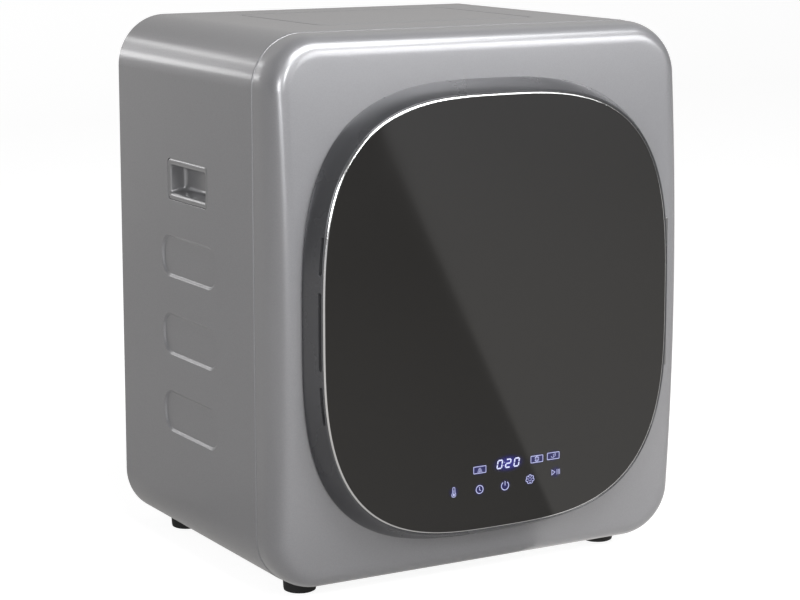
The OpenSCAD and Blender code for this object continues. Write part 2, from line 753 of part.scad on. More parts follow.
key_pitch = 37;
module touch_board() {
    y0 = y_glass + glass_t + seat;
    color([0.1, 0.35, 0.2]) {
        box([panel_x - panel_l / 2 + 2.5, panel_x + panel_l / 2 - 2.5], [y0 + 7, y0 + 8.6],
            [panel_z - panel_h / 2 + 2.5, panel_z + panel_h / 2 - 2.5]);
        for (i = [-2:2]) rod_y(panel_x + i * key_pitch, panel_z - 13, y0 + 0.5, 7, 6);
        box([panel_x - 8, panel_x + 20], [y0 + 0.5, y0 + 7.2], [panel_z + 5, panel_z + 21]);
        for (i = [2.5:7]) box([panel_x - panel_l / 2 + i * 30, panel_x - panel_l / 2 + i * 30 + 3],
            [y0 + 8.5, y0 + 10.7], [panel_z - 6, panel_z + 6]);
    }
}

// Drum

bead_h = 3;
module drum_shell() {
    y_neck = drum_y0 + neck_l;
    bead = [for (f = [0.33, 0.66]) y_neck + f * (drum_y1 - y_neck)];
    color([0.78, 0.79, 0.8]) turned(0, drum_z, concat(
        [[neck_r - drum_t, drum_y0], [neck_r, drum_y0], [neck_r, y_neck], [drum_r, y_neck]],
        [for (y = bead) each [[drum_r, y - 9], [drum_r - bead_h, y - 4],
            [drum_r - bead_h, y + 4], [drum_r, y + 9]]],
        [[drum_r, drum_y1], [drum_r - drum_t, drum_y1]],
        [for (i = [1, 0]) let (y = bead[i]) each [[drum_r - drum_t, y + 9], [drum_r - drum_t - bead_h, y + 4],
            [drum_r - drum_t - bead_h, y - 4], [drum_r - drum_t, y - 9]]],
        [[drum_r - drum_t, y_neck + drum_t], [neck_r - drum_t, y_neck + drum_t]]));
}

hole_rings = [[80, 18], [110, 24], [140, 30], [170, 36]];
hole_r = 4.5;
module drum_back() {
    y0 = drum_y1 - 1.5;
    color([0.76, 0.77, 0.78]) difference() {
        union() {
            rod_y(0, drum_z, y0, sheet, drum_r - drum_t - 0.2);
            tube_y(0, drum_z, y0 + 0.2, 4, 62, 58);
            tube_y(0, drum_z, y0 - 5, 5.2, drum_r - 30, drum_r - 34);
        }
        for (ring = hole_rings) for (i = [0:ring[1] - 1])
            let (a = 360 * (i + 0.5 * (ring[0] / 30 % 2)) / ring[1])
            rod_y(ring[0] * cos(a), drum_z + ring[0] * sin(a), y0 - 1, 4, hole_r);
    }
}

lifter_steps = 8;
lifter_t = 2.5;
// Lifter section with its crest towards the drum's axis, moved inwards by inset
function lifter_path(rad, inset) =
    let (side = [for (j = [0:lifter_steps]) let (f = j / lifter_steps)
        [lifter_w / 2 * (1 - pow(f, 1.6) * 0.72) - inset, rad - (lifter_h - inset) * sin(90 * f)]])
    concat([[lifter_w / 2 - inset, rad + 5]], side,
        [for (j = [lifter_steps:-1:0]) [-side[j].x, side[j].y]], [[inset - lifter_w / 2, rad + 5]]);
module lifter(i) {
    rad = drum_r - drum_t - bead_h - seat;
    y0 = drum_y0 + neck_l + 12;
    length = drum_y1 - 14 - y0;
    color([0.5, 0.51, 0.53]) translate([0, 0, drum_z]) rotate([0, i * 360 / lifters, 0]) difference() {
        intersection() {
            along_y(y0, length) polygon(lifter_path(rad, 0));
            rod_y(0, 0, drum_y0, drum_y1 - drum_y0, rad);
        }
        along_y(y0 + lifter_t, length - 2 * lifter_t) polygon(lifter_path(rad, lifter_t));
    }
}
module lifter_1() { lifter(0); }
module lifter_2() { lifter(1); }
module lifter_3() { lifter(2); }

bush_r = 20;
housing_l = 16;
module drum_shaft() {
    y0 = drum_y1;
    y1 = y_rear_bulkhead + sheet + housing_l + 4;
    color([0.6, 0.6, 0.62]) turned(0, drum_z, [[0, y0], [48, y0], [48, y0 + 2.5], [20, y0 + 3.5],
        [shaft_r + 2, y_rear_bulkhead - 1], [shaft_r, y_rear_bulkhead - 1],
        [shaft_r, y1 - 1], [shaft_r - 1, y1], [0, y1]]);
}

// Back of the cabinet

window_r0 = 72;
window_r1 = 178;
window_a = 12;
duct_land = 8; // how far the heater duct reaches round the window
duct_flange = 6; // the same as an angle

module rear_bulkhead() {
    color([0.72, 0.73, 0.74]) difference() {
        along_y(y_rear_bulkhead, sheet) polygon(cabinet_path(shell_t + lip_gap));
        rod_y(0, drum_z, y_rear_bulkhead - 1, sheet + 2, bush_r + 4);
        along_y(y_rear_bulkhead - 1, sheet + 2) translate([0, drum_z])
            polygon(duct_sector(window_r0, window_r1, window_a, 180 - window_a));
        rod_y(exhaust_x, exhaust_z, y_rear_bulkhead - 1, sheet + 2, duct_r + seat);
    }
}

function duct_sector(r0, r1, a0, a1) = concat(
    [for (a = [a0:6:a1]) [r1 * cos(a), r1 * sin(a)]],
    [for (a = [a1:-6:a0]) [r0 * cos(a), r0 * sin(a)]]);

module bearing_housing() {
    y0 = y_rear_bulkhead + sheet + seat;
    color([0.4, 0.41, 0.43]) difference() {
        union() {
            turned(0, drum_z, [[bush_r + slip, y0], [46, y0], [46, y0 + 3], [bush_r + 6, y0 + 4],
                [bush_r + 4, y0 + housing_l - 2], [bush_r + slip, y0 + housing_l - 2]]);
            for (a = [0:60:300]) translate([0, 0, drum_z]) rotate([0, a, 0])
                along_x(bush_r + 2, 22) polygon([[y0, -1.5], [y0 + 10, -1.5], [y0 + 10, 1.5], [y0, 1.5]]);
        }
        for (a = [30:60:330]) rod_y(38 * cos(a), drum_z + 38 * sin(a), y0 - 1, 6, 2.6);
    }
}

module shaft_bush() {
    y0 = y_rear_bulkhead + sheet + seat;
    color([0.72, 0.55, 0.3]) tube_y(0, drum_z, y0, housing_l - 2, bush_r, shaft_r + slip);
}

heater_y0 = y_rear_bulkhead + sheet + seat;
heater_deep = 28;
heater_left = 50; // reach of the heater's channel to the left of its middle
heater_right = 36;
heater_drop = 70;
heater_rise = 60;
module heater_duct() {
    r0 = window_r0 - duct_land;
    r1 = window_r1 + duct_land;
    a = window_a - duct_flange;
    x = [heater_x - heater_left, heater_x + heater_right];
    color([0.74, 0.75, 0.76]) difference() {
        union() {
            along_y(heater_y0, heater_deep) translate([0, drum_z]) polygon(duct_sector(r0, r1, a, 180 - a));
            box(x, [heater_y0, heater_y0 + heater_deep], [drum_z - heater_drop, drum_z + heater_rise]);
        }
        along_y(heater_y0 - 1, heater_deep - sheet + 1) translate([0, drum_z])
            polygon(duct_sector(r0 + sheet, r1 - sheet, a + 1, 179 - a));
        box([x[0] + sheet, x[1] - sheet], [heater_y0 - 1, heater_y0 + heater_deep - sheet],
            [drum_z - heater_drop - 1, drum_z + heater_rise - sheet]);
    }
}

fin_pitch = 5;
fin_t = 0.8;
tube_pitch = 18;
tube_t = 3;
element_deep = 20;
element_gap = 8; // space between the element's ends and the channel's walls
end_plate = 6.4;
module heater_element() {
    x0 = heater_x - heater_left + element_gap;
    x1 = heater_x + heater_right - element_gap;
    y0 = heater_y0 + tube_t;
    z0 = drum_z - heater_drop + 6;
    tall = 2 * tube_pitch + tube_t - 1;
    tube_z = [for (i = [0:2]) i * tube_pitch];
    color([0.8, 0.8, 0.82]) difference() {
        union() {
            for (z = tube_z) box([x0, x1], [y0, y0 + element_deep], [z0 + z, z0 + z + tube_t]);
            for (i = [0:(x1 - x0) / fin_pitch])
                box([x0 + i * fin_pitch, x0 + i * fin_pitch + fin_t], [y0 + 1, y0 + element_deep - 1],
                    [z0, z0 + tall]);
            for (x = [x0 - end_plate, x1])
                box([x, x + end_plate], [heater_y0 + seat, y0 + element_deep + 2], [z0 - 2, z0 + tall + 4]);
        }
        for (z = tube_z) box([x0 - end_plate - 1, x0 - end_plate / 2], [y0 + 5, y0 + element_deep - 5],
            [z0 + z, z0 + z + tube_t - 1]);
    }
}

module thermostats() {
    y0 = heater_y0 + heater_deep + seat;
    color([0.15, 0.15, 0.16]) for (x = [heater_x - 25, heater_x + 5]) {
        rod_y(x, drum_z + 20, y0, 1, 11);
        rod_y(x, drum_z + 20, y0 + 0.5, 4, 8);
    }
    color([0.15, 0.15, 0.16]) box([heater_x - 25, heater_x + 5], [y0, y0 + 1], [drum_z + 14, drum_z + 26]);
}

// Lint filter, blower and exhaust

pocket_half = slot_half + 6;
pocket_z0 = motor_z - 4;
pocket_z1 = door_z - throat_r + 50;
wing_y0 = y_well + seat + 2.5 + 1;
wing_y1 = y_blower - seat;
eye_r = 36;
eye_land = 12;
window_top = door_z - throat_r - 14; // upper edge of the filter's window
duct_t = 2;

function wing_path(inset) = concat(
    [[-pocket_half + inset, pocket_z1], [-pocket_half + inset, pocket_z0 + inset]],
    [for (a = [-100:20:40]) let (r = eye_r + eye_land - inset) [motor_x + r * cos(a), motor_z + r * sin(a)]],
    [[pocket_half + 30 - inset, pocket_z1 - 40 - inset], [pocket_half - inset, pocket_z1]]);

module lint_duct() {
    color([0.35, 0.36, 0.38]) difference() {
        union() {
            along_y(wing_y0, wing_y1 - wing_y0) polygon(wing_path(0));
            box([-pocket_half, pocket_half], [wing_y1 - 0.5, y_bulkhead - 2], [pocket_z0, pocket_z1]);
        }
        along_y(wing_y0 + duct_t, wing_y1 - wing_y0 - 2 * duct_t)
            polygon(concat(wing_path(duct_t), [[0, pocket_z1 + 5]]));
        box([-slot_half - 2, slot_half + 2], [wing_y1 + 0.5, y_bulkhead - 4],
            [pocket_z0 + duct_t, pocket_z1 + 5]);
        box([-slot_half + 12, slot_half - 12], [wing_y1 - 4, wing_y1 + 2], [pocket_z0 + 8, window_top]);
        rod_y(0, door_z, wing_y0 - 5, y_bulkhead - wing_y0 + 10, throat_r + 2.5 + seat);
        rod_y(motor_x, motor_z, wing_y1 - 3, 5, eye_r);
    }
}

filter_y0 = slot_y0 + 2;
filter_t = slot_w - 4;
filter_rim = 8;
grip_half = 22;
bar_pitch = 32;
module filter_frame() {
    z0 = pocket_z0 + duct_t + seat;
    color([0.82, 0.83, 0.84]) {
        difference() {
            box([-slot_half + 1.5, slot_half - 1.5], [filter_y0, filter_y0 + filter_t], [z0, pocket_z1 + 2]);
            rod_y(0, door_z, filter_y0 - 1, filter_t + 2, throat_r + 0.5);
            box([filter_rim - slot_half, slot_half - filter_rim], [filter_y0 - 1, filter_y0 + filter_t + 1],
                [z0 + 6, window_top]);
        }
        for (i = [-2:2]) box([i * bar_pitch - 1.2, i * bar_pitch + 1.2],
            [filter_y0 + 4, filter_y0 + filter_t], [z0 + 5, window_top + 1]);
        box([-grip_half, grip_half], [filter_y0 + 3, filter_y0 + filter_t - 3],
            [door_z - throat_r - 4, door_z - throat_r + 7]);
    }
}

module filter_mesh() {
    z0 = pocket_z0 + duct_t + 6 + 2 * seat;
    color([0.9, 0.9, 0.88]) box([filter_rim + seat - slot_half, slot_half - filter_rim - seat],
        [filter_y0 + 2.5, filter_y0 + 3.7], [z0, window_top - seat]);
}

tongue_a = 200;
outlet_x = motor_x - scroll_r - 6;
outlet_h = 48;
function scroll_path(inset, tail) = concat(
    [for (a = [tongue_a:-10:-90]) let (r = scroll_r - scroll_grow * (a + 90) / (tongue_a + 90) - inset)
        [motor_x + r * cos(a), motor_z + r * sin(a)]],
    [[outlet_x - tail, motor_z - scroll_r + inset],
        [outlet_x - tail, motor_z - scroll_r + outlet_h - inset]]);

module blower_housing() {
    color([0.3, 0.31, 0.33]) difference() {
        along_y(y_blower, scroll_w) polygon(scroll_path(0, 0));
        along_y(y_blower + 2, scroll_w - 4) polygon(scroll_path(2, 2));
        rod_y(motor_x, motor_z, y_blower - 1, 5, eye_r);
        rod_y(motor_x, motor_z, y_blower + scroll_w - 4, 6, 9);
    }
}

wheel_r = scroll_r - scroll_grow - 6;
vane_steps = 4;
module blower_wheel() {
    y0 = y_blower + 4;
    w = scroll_w - 8;
    color([0.85, 0.85, 0.82]) {
        tube_y(motor_x, motor_z, y0, 1.4, wheel_r, eye_r - 1);
        tube_y(motor_x, motor_z, y0 + w - 1.6, 1.6, wheel_r, spindle_r + slip);
        tube_y(motor_x, motor_z, y0 + 5, w - 5, spindle_r + 5, spindle_r + slip);
        translate([motor_x, 0, motor_z]) for (i = [0:vanes - 1]) rotate([0, i * 360 / vanes, 0])
            along_y(y0 + 0.8, w - 1.6) polygon(concat(
                [for (j = [0:vane_steps]) let (r = eye_r + 1 + (wheel_r - eye_r - 1.6) * j / vane_steps,
                    a = 16 * pow(j / vane_steps, 1.6)) [r * cos(a), r * sin(a)]],
                [for (j = [vane_steps:-1:0]) let (r = eye_r + 1 + (wheel_r - eye_r - 1.6) * j / vane_steps,
                    a = 16 * pow(j / vane_steps, 1.6) + 1.6) [r * cos(a), r * sin(a)]]));
    }
}

plenum_z0 = motor_z - scroll_r;
module exhaust_plenum() {
    x1 = outlet_x - seat;
    y1 = y_bulkhead - seat;
    color([0.3, 0.31, 0.33]) difference() {
        union() {
            box([exhaust_x, x1], [y_blower, y1], [plenum_z0, plenum_z0 + outlet_h]);
            rod_y(exhaust_x, exhaust_z, y_blower, y1 - y_blower, duct_r + 5);
        }
        box([exhaust_x, x1 + 1], [y_blower + 2, y1 - 2], [plenum_z0 + 2, plenum_z0 + outlet_h - 2]);
        rod_y(exhaust_x, exhaust_z, y_blower + 2, y1 - y_blower - 4, duct_r + 3);
        rod_y(exhaust_x, exhaust_z, y1 - 3, 5, duct_r - 2);
    }
}

module exhaust_duct() {
    y0 = y_bulkhead - seat + 0.3;
    color([0.75, 0.76, 0.77]) tube_y(exhaust_x, exhaust_z, y0, y_panel - 2 - y0, duct_r, duct_r - 1);
}

collar_w = 5;
module exhaust_spigot() {
    y0 = y_panel + panel_t + seat;
    color([0.62, 0.63, 0.65]) turned(exhaust_x, exhaust_z, [
        [duct_r - 2, y0], [spigot_r + collar_w, y0], [spigot_r + collar_w, y0 + 2.5], [spigot_r, y0 + 2.5],
        [spigot_r, y_back + spigot_l], [duct_r - 2, y_back + spigot_l]]);
}

// Motor and drum drive

module motor_body() {
    y1 = y_motor + motor_l;
    slots = 8;
    color([0.4, 0.42, 0.45]) difference() {
        turned(motor_x, motor_z, [[spindle_r + slip, y_motor], [motor_r * 0.45, y_motor],
            [motor_r * 0.85, y_motor + 6], [motor_r - 2, y_motor + 16], [motor_r - 2, y_motor + 24],
            [motor_r, y_motor + 24],
            [motor_r, y1 - 24], [motor_r - 2, y1 - 24], [motor_r - 2, y1 - 16],
            [motor_r * 0.85, y1 - 6], [motor_r * 0.45, y1], [spindle_r + slip, y1]]);
        for (i = [0:slots - 1]) translate([motor_x, 0, motor_z]) rotate([0, i * 360 / slots, 0]) {
            box([motor_r - 12, motor_r + 1], [y_motor + 9, y_motor + 20], [-4, 4]);
            box([motor_r - 12, motor_r + 1], [y1 - 20, y1 - 9], [-4, 4]);
        }
    }
}

cradle_half = 58;
cradle_in = 18;
saddle_in = 26;
saddle_t = 5;
band_t = 4;
module motor_cradle() {
    z0 = tray_z + sheet + seat;
    x1 = tray_half - sheet - 1;
    color([0.55, 0.56, 0.58]) {
        box([motor_x - cradle_half, x1], [y_motor + cradle_in, y_motor + motor_l - cradle_in], [z0, z0 + 2]);
        for (y = [y_motor + saddle_in, y_motor + motor_l - saddle_in - saddle_t]) difference() {
            union() {
                along_y(y, saddle_t) polygon([[motor_x - cradle_half + 2, z0], [x1 - 1, z0],
                    [x1 - 1, tray_z + tray_rim + 1], [motor_x + motor_r + band_t, motor_z],
                    [motor_x - motor_r - 6, motor_z]]);
                tube_y(motor_x, motor_z, y, saddle_t, motor_r + band_t, motor_r + seat);
            }
            rod_y(motor_x, motor_z, y - 1, saddle_t + 2, motor_r + seat);
        }
    }
}

module motor_shaft() {
    y0 = y_blower + 8;
    color([0.75, 0.75, 0.77]) rod_y(motor_x, motor_z, y0, y_belt + belt_w / 2 + 6 - y0, spindle_r);
}

module motor_pulley() {
    w = belt_w + 3;
    y0 = y_belt - w / 2;
    y1 = y_belt + w / 2;
    flange_r = pulley_r + 2.5;
    color([0.5, 0.5, 0.52]) turned(motor_x, motor_z, [[spindle_r + slip, y0], [flange_r, y0],
        [flange_r, y0 + 1], [pulley_r, y0 + 1], [pulley_r, y1 - 1], [flange_r, y1 - 1], [flange_r, y1],
        [spindle_r + slip, y1]]);
}

// Belt path: wheels in the order the belt meets them, with side 1 inside the loop and -1 outside
belt_gap = 0.45;
idler_side = 62; // distance of the idler from the motor
idler_drop = 4;
idler_x = motor_x - idler_side;
idler_z = motor_z - pulley_r - idler_drop;
wheels = [[0, drum_z, drum_r, 1], [idler_x, idler_z, idler_r, -1], [motor_x, motor_z, pulley_r, 1]];
function belt_radius(w, off) = w[3] * (w[2] + belt_gap + belt_t / 2) + off;
function run_angle(w, v, off) =
    let (d = [v[0] - w[0], v[1] - w[1]], l = norm(d))
    atan2(d.y, d.x) + asin((belt_radius(w, off) - belt_radius(v, off)) / l);
function wrap(a) = a - 360 * floor(a / 360);
function wheel_arc(i, off) =
    let (n = len(wheels), w = wheels[i], a0 = run_angle(wheels[(i + n - 1) % n], w, off),
        a1 = run_angle(w, wheels[(i + 1) % n], off), turn = w[3] > 0 ? wrap(a1 - a0) : -wrap(a0 - a1),
        steps = ceil(abs(turn) / (w[2] > 100 ? 4 : 15)), r = belt_radius(w, off))
    [for (j = [0:steps]) let (a = a0 + turn * j / steps) [w[0] + r * sin(a), w[1] - r * cos(a)]];
function belt_path(off) = [for (i = [0:len(wheels) - 1]) each wheel_arc(i, off)];

module drum_belt() {
    color([0.1, 0.1, 0.1]) along_y(y_belt - belt_w / 2, belt_w) difference() {
        polygon(belt_path(belt_t / 2));
        polygon(belt_path(-belt_t / 2));
    }
}

axle_r = 4;
arm_t = 2.5;
arm_foot = 12;
pivot_x = idler_x - 46;
pivot_z = tray_z + sheet + 16;
module idler_arm() {
    y0 = y_belt + belt_w / 2 + 3.5;
    z0 = tray_z + sheet + seat;
    color([0.6, 0.61, 0.63]) {
        hull() {
            rod_y(idler_x, idler_z, y0, arm_t, 8);
            rod_y(pivot_x, pivot_z, y0, arm_t, 8);
        }
        rod_y(idler_x, idler_z, y_belt - belt_w / 2 - 2.5, y0 - y_belt + belt_w / 2 + 3, axle_r);
        rod_y(idler_x, idler_z, y_belt - belt_w / 2 - 3.5, 1.5, axle_r + 2);
        box([pivot_x - arm_foot, pivot_x + arm_foot], [y0 + arm_t - 0.5, y0 + arm_t + 2], [z0, pivot_z + 10]);
        box([pivot_x - arm_foot, pivot_x + arm_foot], [y0 + arm_t - 0.5, y0 + arm_t + 22], [z0, z0 + arm_t]);
    }
}

module idler_wheel() {
    w = belt_w + 1;
    color([0.85, 0.85, 0.82]) tube_y(idler_x, idler_z, y_belt - w / 2, w, idler_r, axle_r + slip);
}

spring_r = 4;
wire_r = 0.8;
spring_turns = 8;
module idler_spring() {
    y0 = y_belt + belt_w / 2 + 3.5 + arm_t + 4;
    steps = spring_turns * 12;
    length = 40;
    x0 = pivot_x + 14 + spring_r;
    z0 = tray_z + sheet + seat + spring_r + wire_r;
    color([0.7, 0.7, 0.72]) polyhedron(
        points = [for (i = [0:steps], k = [0:5]) let (a = i * 30, b = k * 60, r = spring_r + wire_r * cos(b))
            [x0 + r * cos(a), y0 + length * i / steps + wire_r * sin(b), z0 + r * sin(a)]],
        faces = concat([[for (k = [5:-1:0]) k]], [[for (k = [0:5]) steps * 6 + k]],
            [for (i = [0:steps - 1], k = [0:5]) let (a = i * 6 + k, b = i * 6 + (k + 1) % 6)
                each [[a, b, b + 6], [a, b + 6, a + 6]]]));
}

// Electrics

box_w = 46;
box_l = 140;
box_h = 84;
box_at = 10;
box_wall = 2;
board_in = 9;
board_h = 22;
module power_box() {
    x0 = -inner_w + seat;
    z1 = total_h - corner_r;
    y = [y_mid + box_at - box_l / 2, y_mid + box_at + box_l / 2];
    color([0.13, 0.13, 0.14]) {
        difference() {
            box([x0, x0 + box_w], y, [z1 - box_h, z1]);
            box([x0 + box_wall, x0 + box_w - box_wall], [y[0] + box_wall, y[1] - box_wall],
                [z1 - box_h + box_wall, z1 + 1]);
        }
        box([x0 + board_in, x0 + box_w - board_in], [y[0] + board_in, y[1] - board_in],
            [z1 - box_h + box_wall - 0.5, z1 - box_h + box_wall + board_h]);
    }
}

module cord_gland() {
    y0 = y_panel + panel_t + seat;
    color([0.08, 0.08, 0.08]) difference() {
        union() {
            turned(gland_x, gland_z, [[0, y_panel - 12], [gland_r, y_panel - 12], [gland_r, y0],
                [gland_r + 5, y0], [gland_r + 5, y0 + 3], [gland_r - 1, y0 + 12], [0, y0 + 12]]);
            tube_y(gland_x, gland_z, y_panel - seat - 4, 4, gland_r + 5, gland_r - 1);
        }
        rod_y(gland_x, gland_z, y_panel - 14, 40, 4);
    }
}

housing();
front_fascia();
rear_panel();
handle_pocket_left();
handle_pocket_right();
foot_front_left();
foot_front_right();
foot_rear_left();
foot_rear_right();
base_tray();
door_surround();
door_seal();
front_bulkhead();
drum_front_felt();
rear_bulkhead();
bearing_housing();
shaft_bush();
heater_duct();
heater_element();
thermostats();
lint_duct();
blower_housing();
exhaust_plenum();
exhaust_duct();
exhaust_spigot();
motor_body();
motor_cradle();
drum_belt();
idler_arm();
idler_spring();
hinge_bracket();
hinge_pin();
door_catch();
door_switch();
power_box();
cord_gland();
rear_screws();
door_frame();
door_bezel();
door_glass();
door_liner();
hinge_leaf();
latch_tongue();
control_tray();
touch_board();
drum_shell();
drum_back();
lifter_1();
lifter_2();
lifter_3();
drum_shaft();
motor_shaft();
blower_wheel();
motor_pulley();
idler_wheel();
filter_frame();
filter_mesh();
switch_plunger();
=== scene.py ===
import json
import math

import bmesh
import bpy
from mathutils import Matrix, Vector, geometry


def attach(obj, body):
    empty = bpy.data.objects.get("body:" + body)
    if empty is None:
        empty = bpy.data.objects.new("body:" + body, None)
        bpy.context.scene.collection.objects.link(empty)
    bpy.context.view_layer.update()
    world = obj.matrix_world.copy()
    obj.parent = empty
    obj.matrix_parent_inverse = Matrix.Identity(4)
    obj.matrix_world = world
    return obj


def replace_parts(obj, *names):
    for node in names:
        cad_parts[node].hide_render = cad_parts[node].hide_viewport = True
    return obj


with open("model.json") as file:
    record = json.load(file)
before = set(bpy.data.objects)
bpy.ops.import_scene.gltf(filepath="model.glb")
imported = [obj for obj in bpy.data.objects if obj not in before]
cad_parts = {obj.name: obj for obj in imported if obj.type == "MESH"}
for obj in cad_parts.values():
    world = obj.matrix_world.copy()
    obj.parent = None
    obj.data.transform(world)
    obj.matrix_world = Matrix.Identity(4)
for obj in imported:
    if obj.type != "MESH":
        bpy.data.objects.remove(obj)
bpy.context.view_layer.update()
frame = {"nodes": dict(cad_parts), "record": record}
nodes = frame["nodes"]
print("frame: loaded", len(nodes), "nodes")

# Sizes that several pieces share, in metres, as in the part's source

cabinet = dict(halfWidth=0.292, low=0.015, high=0.690, cornerRadius=0.066, wall=0.003,
               yEdge=-0.212, ySeam=-0.167, yBack=0.228, seamGap=0.0008)
cabinet["middle"] = (cabinet["low"] + cabinet["high"]) / 2
cabinet["halfHeight"] = (cabinet["high"] - cabinet["low"]) / 2
door = dict(halfX=0.262, halfZ=0.285, power=3.0, glassX=0.244, glassZ=0.267, glassPower=3.12, z=0.345,
            yGlass=-0.258, faceBack=0.00014, gap=0.001, lipInset=0.0026, lipWall=0.0016, lipBack=0.0015,
            frameWall=0.003, flare=1.3, turns=288)


# Mesh helpers

def linkObject(name, data):
    obj = bpy.data.objects.new(name, data)
    bpy.context.scene.collection.objects.link(obj)
    return obj


def addObject(name, verts, faces, material):
    mesh = bpy.data.meshes.new(name)
    mesh.from_pydata([tuple(v) for v in verts], [], faces)
    work = bmesh.new()
    work.from_mesh(mesh)
    bmesh.ops.remove_doubles(work, verts=work.verts, dist=2e-6)
    bmesh.ops.dissolve_degenerate(work, edges=work.edges, dist=1e-7)
    work.to_mesh(mesh)
    work.free()
    for face in mesh.polygons:
        face.use_smooth = True
    mesh.update()
    if material is not None:
        mesh.materials.append(material)
    return linkObject(name, mesh)


def smoothByAngle(obj, degrees):
    mesh = obj.data
    for face in mesh.polygons:
        face.use_smooth = True
    mesh.set_sharp_from_angle(angle=math.radians(degrees))


def outward(obj):
    work = bmesh.new()
    work.from_mesh(obj.data)
    bmesh.ops.recalc_face_normals(work, faces=work.faces)
    work.to_mesh(obj.data)
    work.free()


def isInside(p, loop):
    odd = False
    for a, b in zip(loop, loop[-1:] + loop[:-1]):
        if (a[1] > p[1]) != (b[1] > p[1]) and p[0] < (b[0] - a[0]) * (p[1] - a[1]) / (b[1] - a[1]) + a[0]:
            odd = not odd
    return odd


# collects points and faces for one mesh
class Shell:
    def __init__(self):
        self.verts, self.faces = [], []

    def loft(self, loops, closed=True, wrap=False):
        base, count = len(self.verts), len(loops[0])
        for loop in loops:
            self.verts.extend(loop)
        rows = len(loops) if wrap else len(loops) - 1
        columns = count if closed else count - 1
        for i in range(rows):
            low, high = base + i * count, base + ((i + 1) % len(loops)) * count
            for k in range(columns):
                n = (k + 1) % count
                self.faces.append((low + k, low + n, high + n, high + k))

    # fills an outline with holes, in two dimensions, and places it by a function
    def flat(self, outer, holes, place):
        points, edges = [], []
        for loop in [outer] + holes:
            start = len(points)
            points.extend(Vector(p) for p in loop)
            edges.extend((start + i, start + (i + 1) % len(loop)) for i in range(len(loop)))
        made = geometry.delaunay_2d_cdt(points, edges, [], 0, 1e-7)
        verts, faces = made[0], made[2]
        base = len(self.verts)
        self.verts.extend(place(v.x, v.y) for v in verts)
        for face in faces:
            middle = sum((verts[i] for i in face), Vector((0, 0))) / len(face)
            if isInside(middle, outer) and not any(isInside(middle, hole) for hole in holes):
                self.faces.append(tuple(base + i for i in face))

    def build(self, name, material, angle=None):
        obj = addObject(name, self.verts, self.faces, material)
        outward(obj)
        if angle:
            smoothByAngle(obj, angle)
            even = obj.modifiers.new("evenNormals", "WEIGHTED_NORMAL")  # keeps the flats flat beside their bends
            even.keep_sharp = True
        return obj


def arcPoints(a, b, radius, angles):
    return [(a + radius * math.cos(math.radians(t)), b + radius * math.sin(math.radians(t))) for t in angles]


# rounded rectangle, counter-clockwise from its right side's upper end; side is the pieces of a straight
def roundedLoop(halfA, halfB, radius, centreA=0.0, centreB=0.0, corner=12, side=1):
    a, b = halfA - radius, halfB - radius
    arcs = [arcPoints(p, q, radius, [start + 90 * j / corner for j in range(corner + 1)])
            for p, q, start in ((a, b, 0), (-a, b, 90), (-a, -b, 180), (a, -b, 270))]
    points = []
    for i, arc in enumerate(arcs):
        points.extend(arc)
        last, first = arc[-1], arcs[(i + 1) % 4][0]
        for j in range(1, side):
            f = j / side
            points.append((last[0] + (first[0] - last[0]) * f, last[1] + (first[1] - last[1]) * f))
    return [(centreA + p, centreB + q) for p, q in points]


def squircle(a, b, power, t):
    c, s = math.cos(t), math.sin(t)
    r = ((abs(c) / a) ** power + (abs(s) / b) ** power) ** (-1 / power)
    return r * c, r * s


def cabinetLoop(inset, corner=20, side=14):
    return roundedLoop(cabinet["halfWidth"] - inset, cabinet["halfHeight"] - inset,
                       cabinet["cornerRadius"] - inset, 0, cabinet["middle"], corner, side)


# Node helpers

def feed(tree, socket, value):
    if isinstance(value, bpy.types.NodeSocket):
        tree.links.new(value, socket)
    else:
        socket.default_value = value


def addNode(tree, kind, **values):
    node = tree.nodes.new("ShaderNode" + kind)
    for key, value in values.items():
        label = key[0].upper() + key[1:]
        if label in node.inputs.keys():
            feed(tree, node.inputs[label], value)
        else:
            setattr(node, key, value)
    return node


def mathNode(tree, operation, *values):
    node = addNode(tree, "Math", operation=operation)
    for socket, value in zip(node.inputs, values):
        feed(tree, socket, value)
    return node.outputs[0]


def remap(tree, value, fromLow, fromHigh, toLow=0.0, toHigh=1.0):
    node = addNode(tree, "MapRange", value=value)
    for key, v in (("From Min", fromLow), ("From Max", fromHigh), ("To Min", toLow), ("To Max", toHigh)):
        feed(tree, node.inputs[key], v)
    return node.outputs["Result"]


def isSeen(tree):  # by the camera, straight or through glass
    path = addNode(tree, "LightPath").outputs
    return mathNode(tree, "MAXIMUM", path["Is Camera Ray"], path["Is Transmission Ray"])


# Finishes: three node groups, each with its inputs' starting values

def newGroup(name, inputs):
    group = bpy.data.node_groups.new(name, "ShaderNodeTree")
    for label, value in inputs.items():
        kind = "NodeSocketColor" if isinstance(value, tuple) else "NodeSocketFloat"
        group.interface.new_socket(name=label, in_out="INPUT", socket_type=kind).default_value = value
    for label, kind in (("Colour", "Color"), ("Roughness", "Float"), ("Height", "Float")):
        group.interface.new_socket(name=label, in_out="OUTPUT", socket_type="NodeSocket" + kind)
    return group, group.nodes.new("NodeGroupInput").outputs, addNode(group, "TexCoord").outputs["Object"]


def endGroup(group, start, level, roughness, height):
    end = group.nodes.new("NodeGroupOutput").inputs
    tint = addNode(group, "VectorMath", operation="SCALE", scale=level)
    group.links.new(start["Colour"], tint.inputs[0])
    for label, value in (("Colour", tint.outputs[0]), ("Roughness", roughness), ("Height", height)):
        group.links.new(value, end[label])
    return group


# how far a value strays from its middle, times an amount
def swing(tree, value, amount):
    return mathNode(tree, "MULTIPLY", mathNode(tree, "SUBTRACT", value, 0.5), amount)


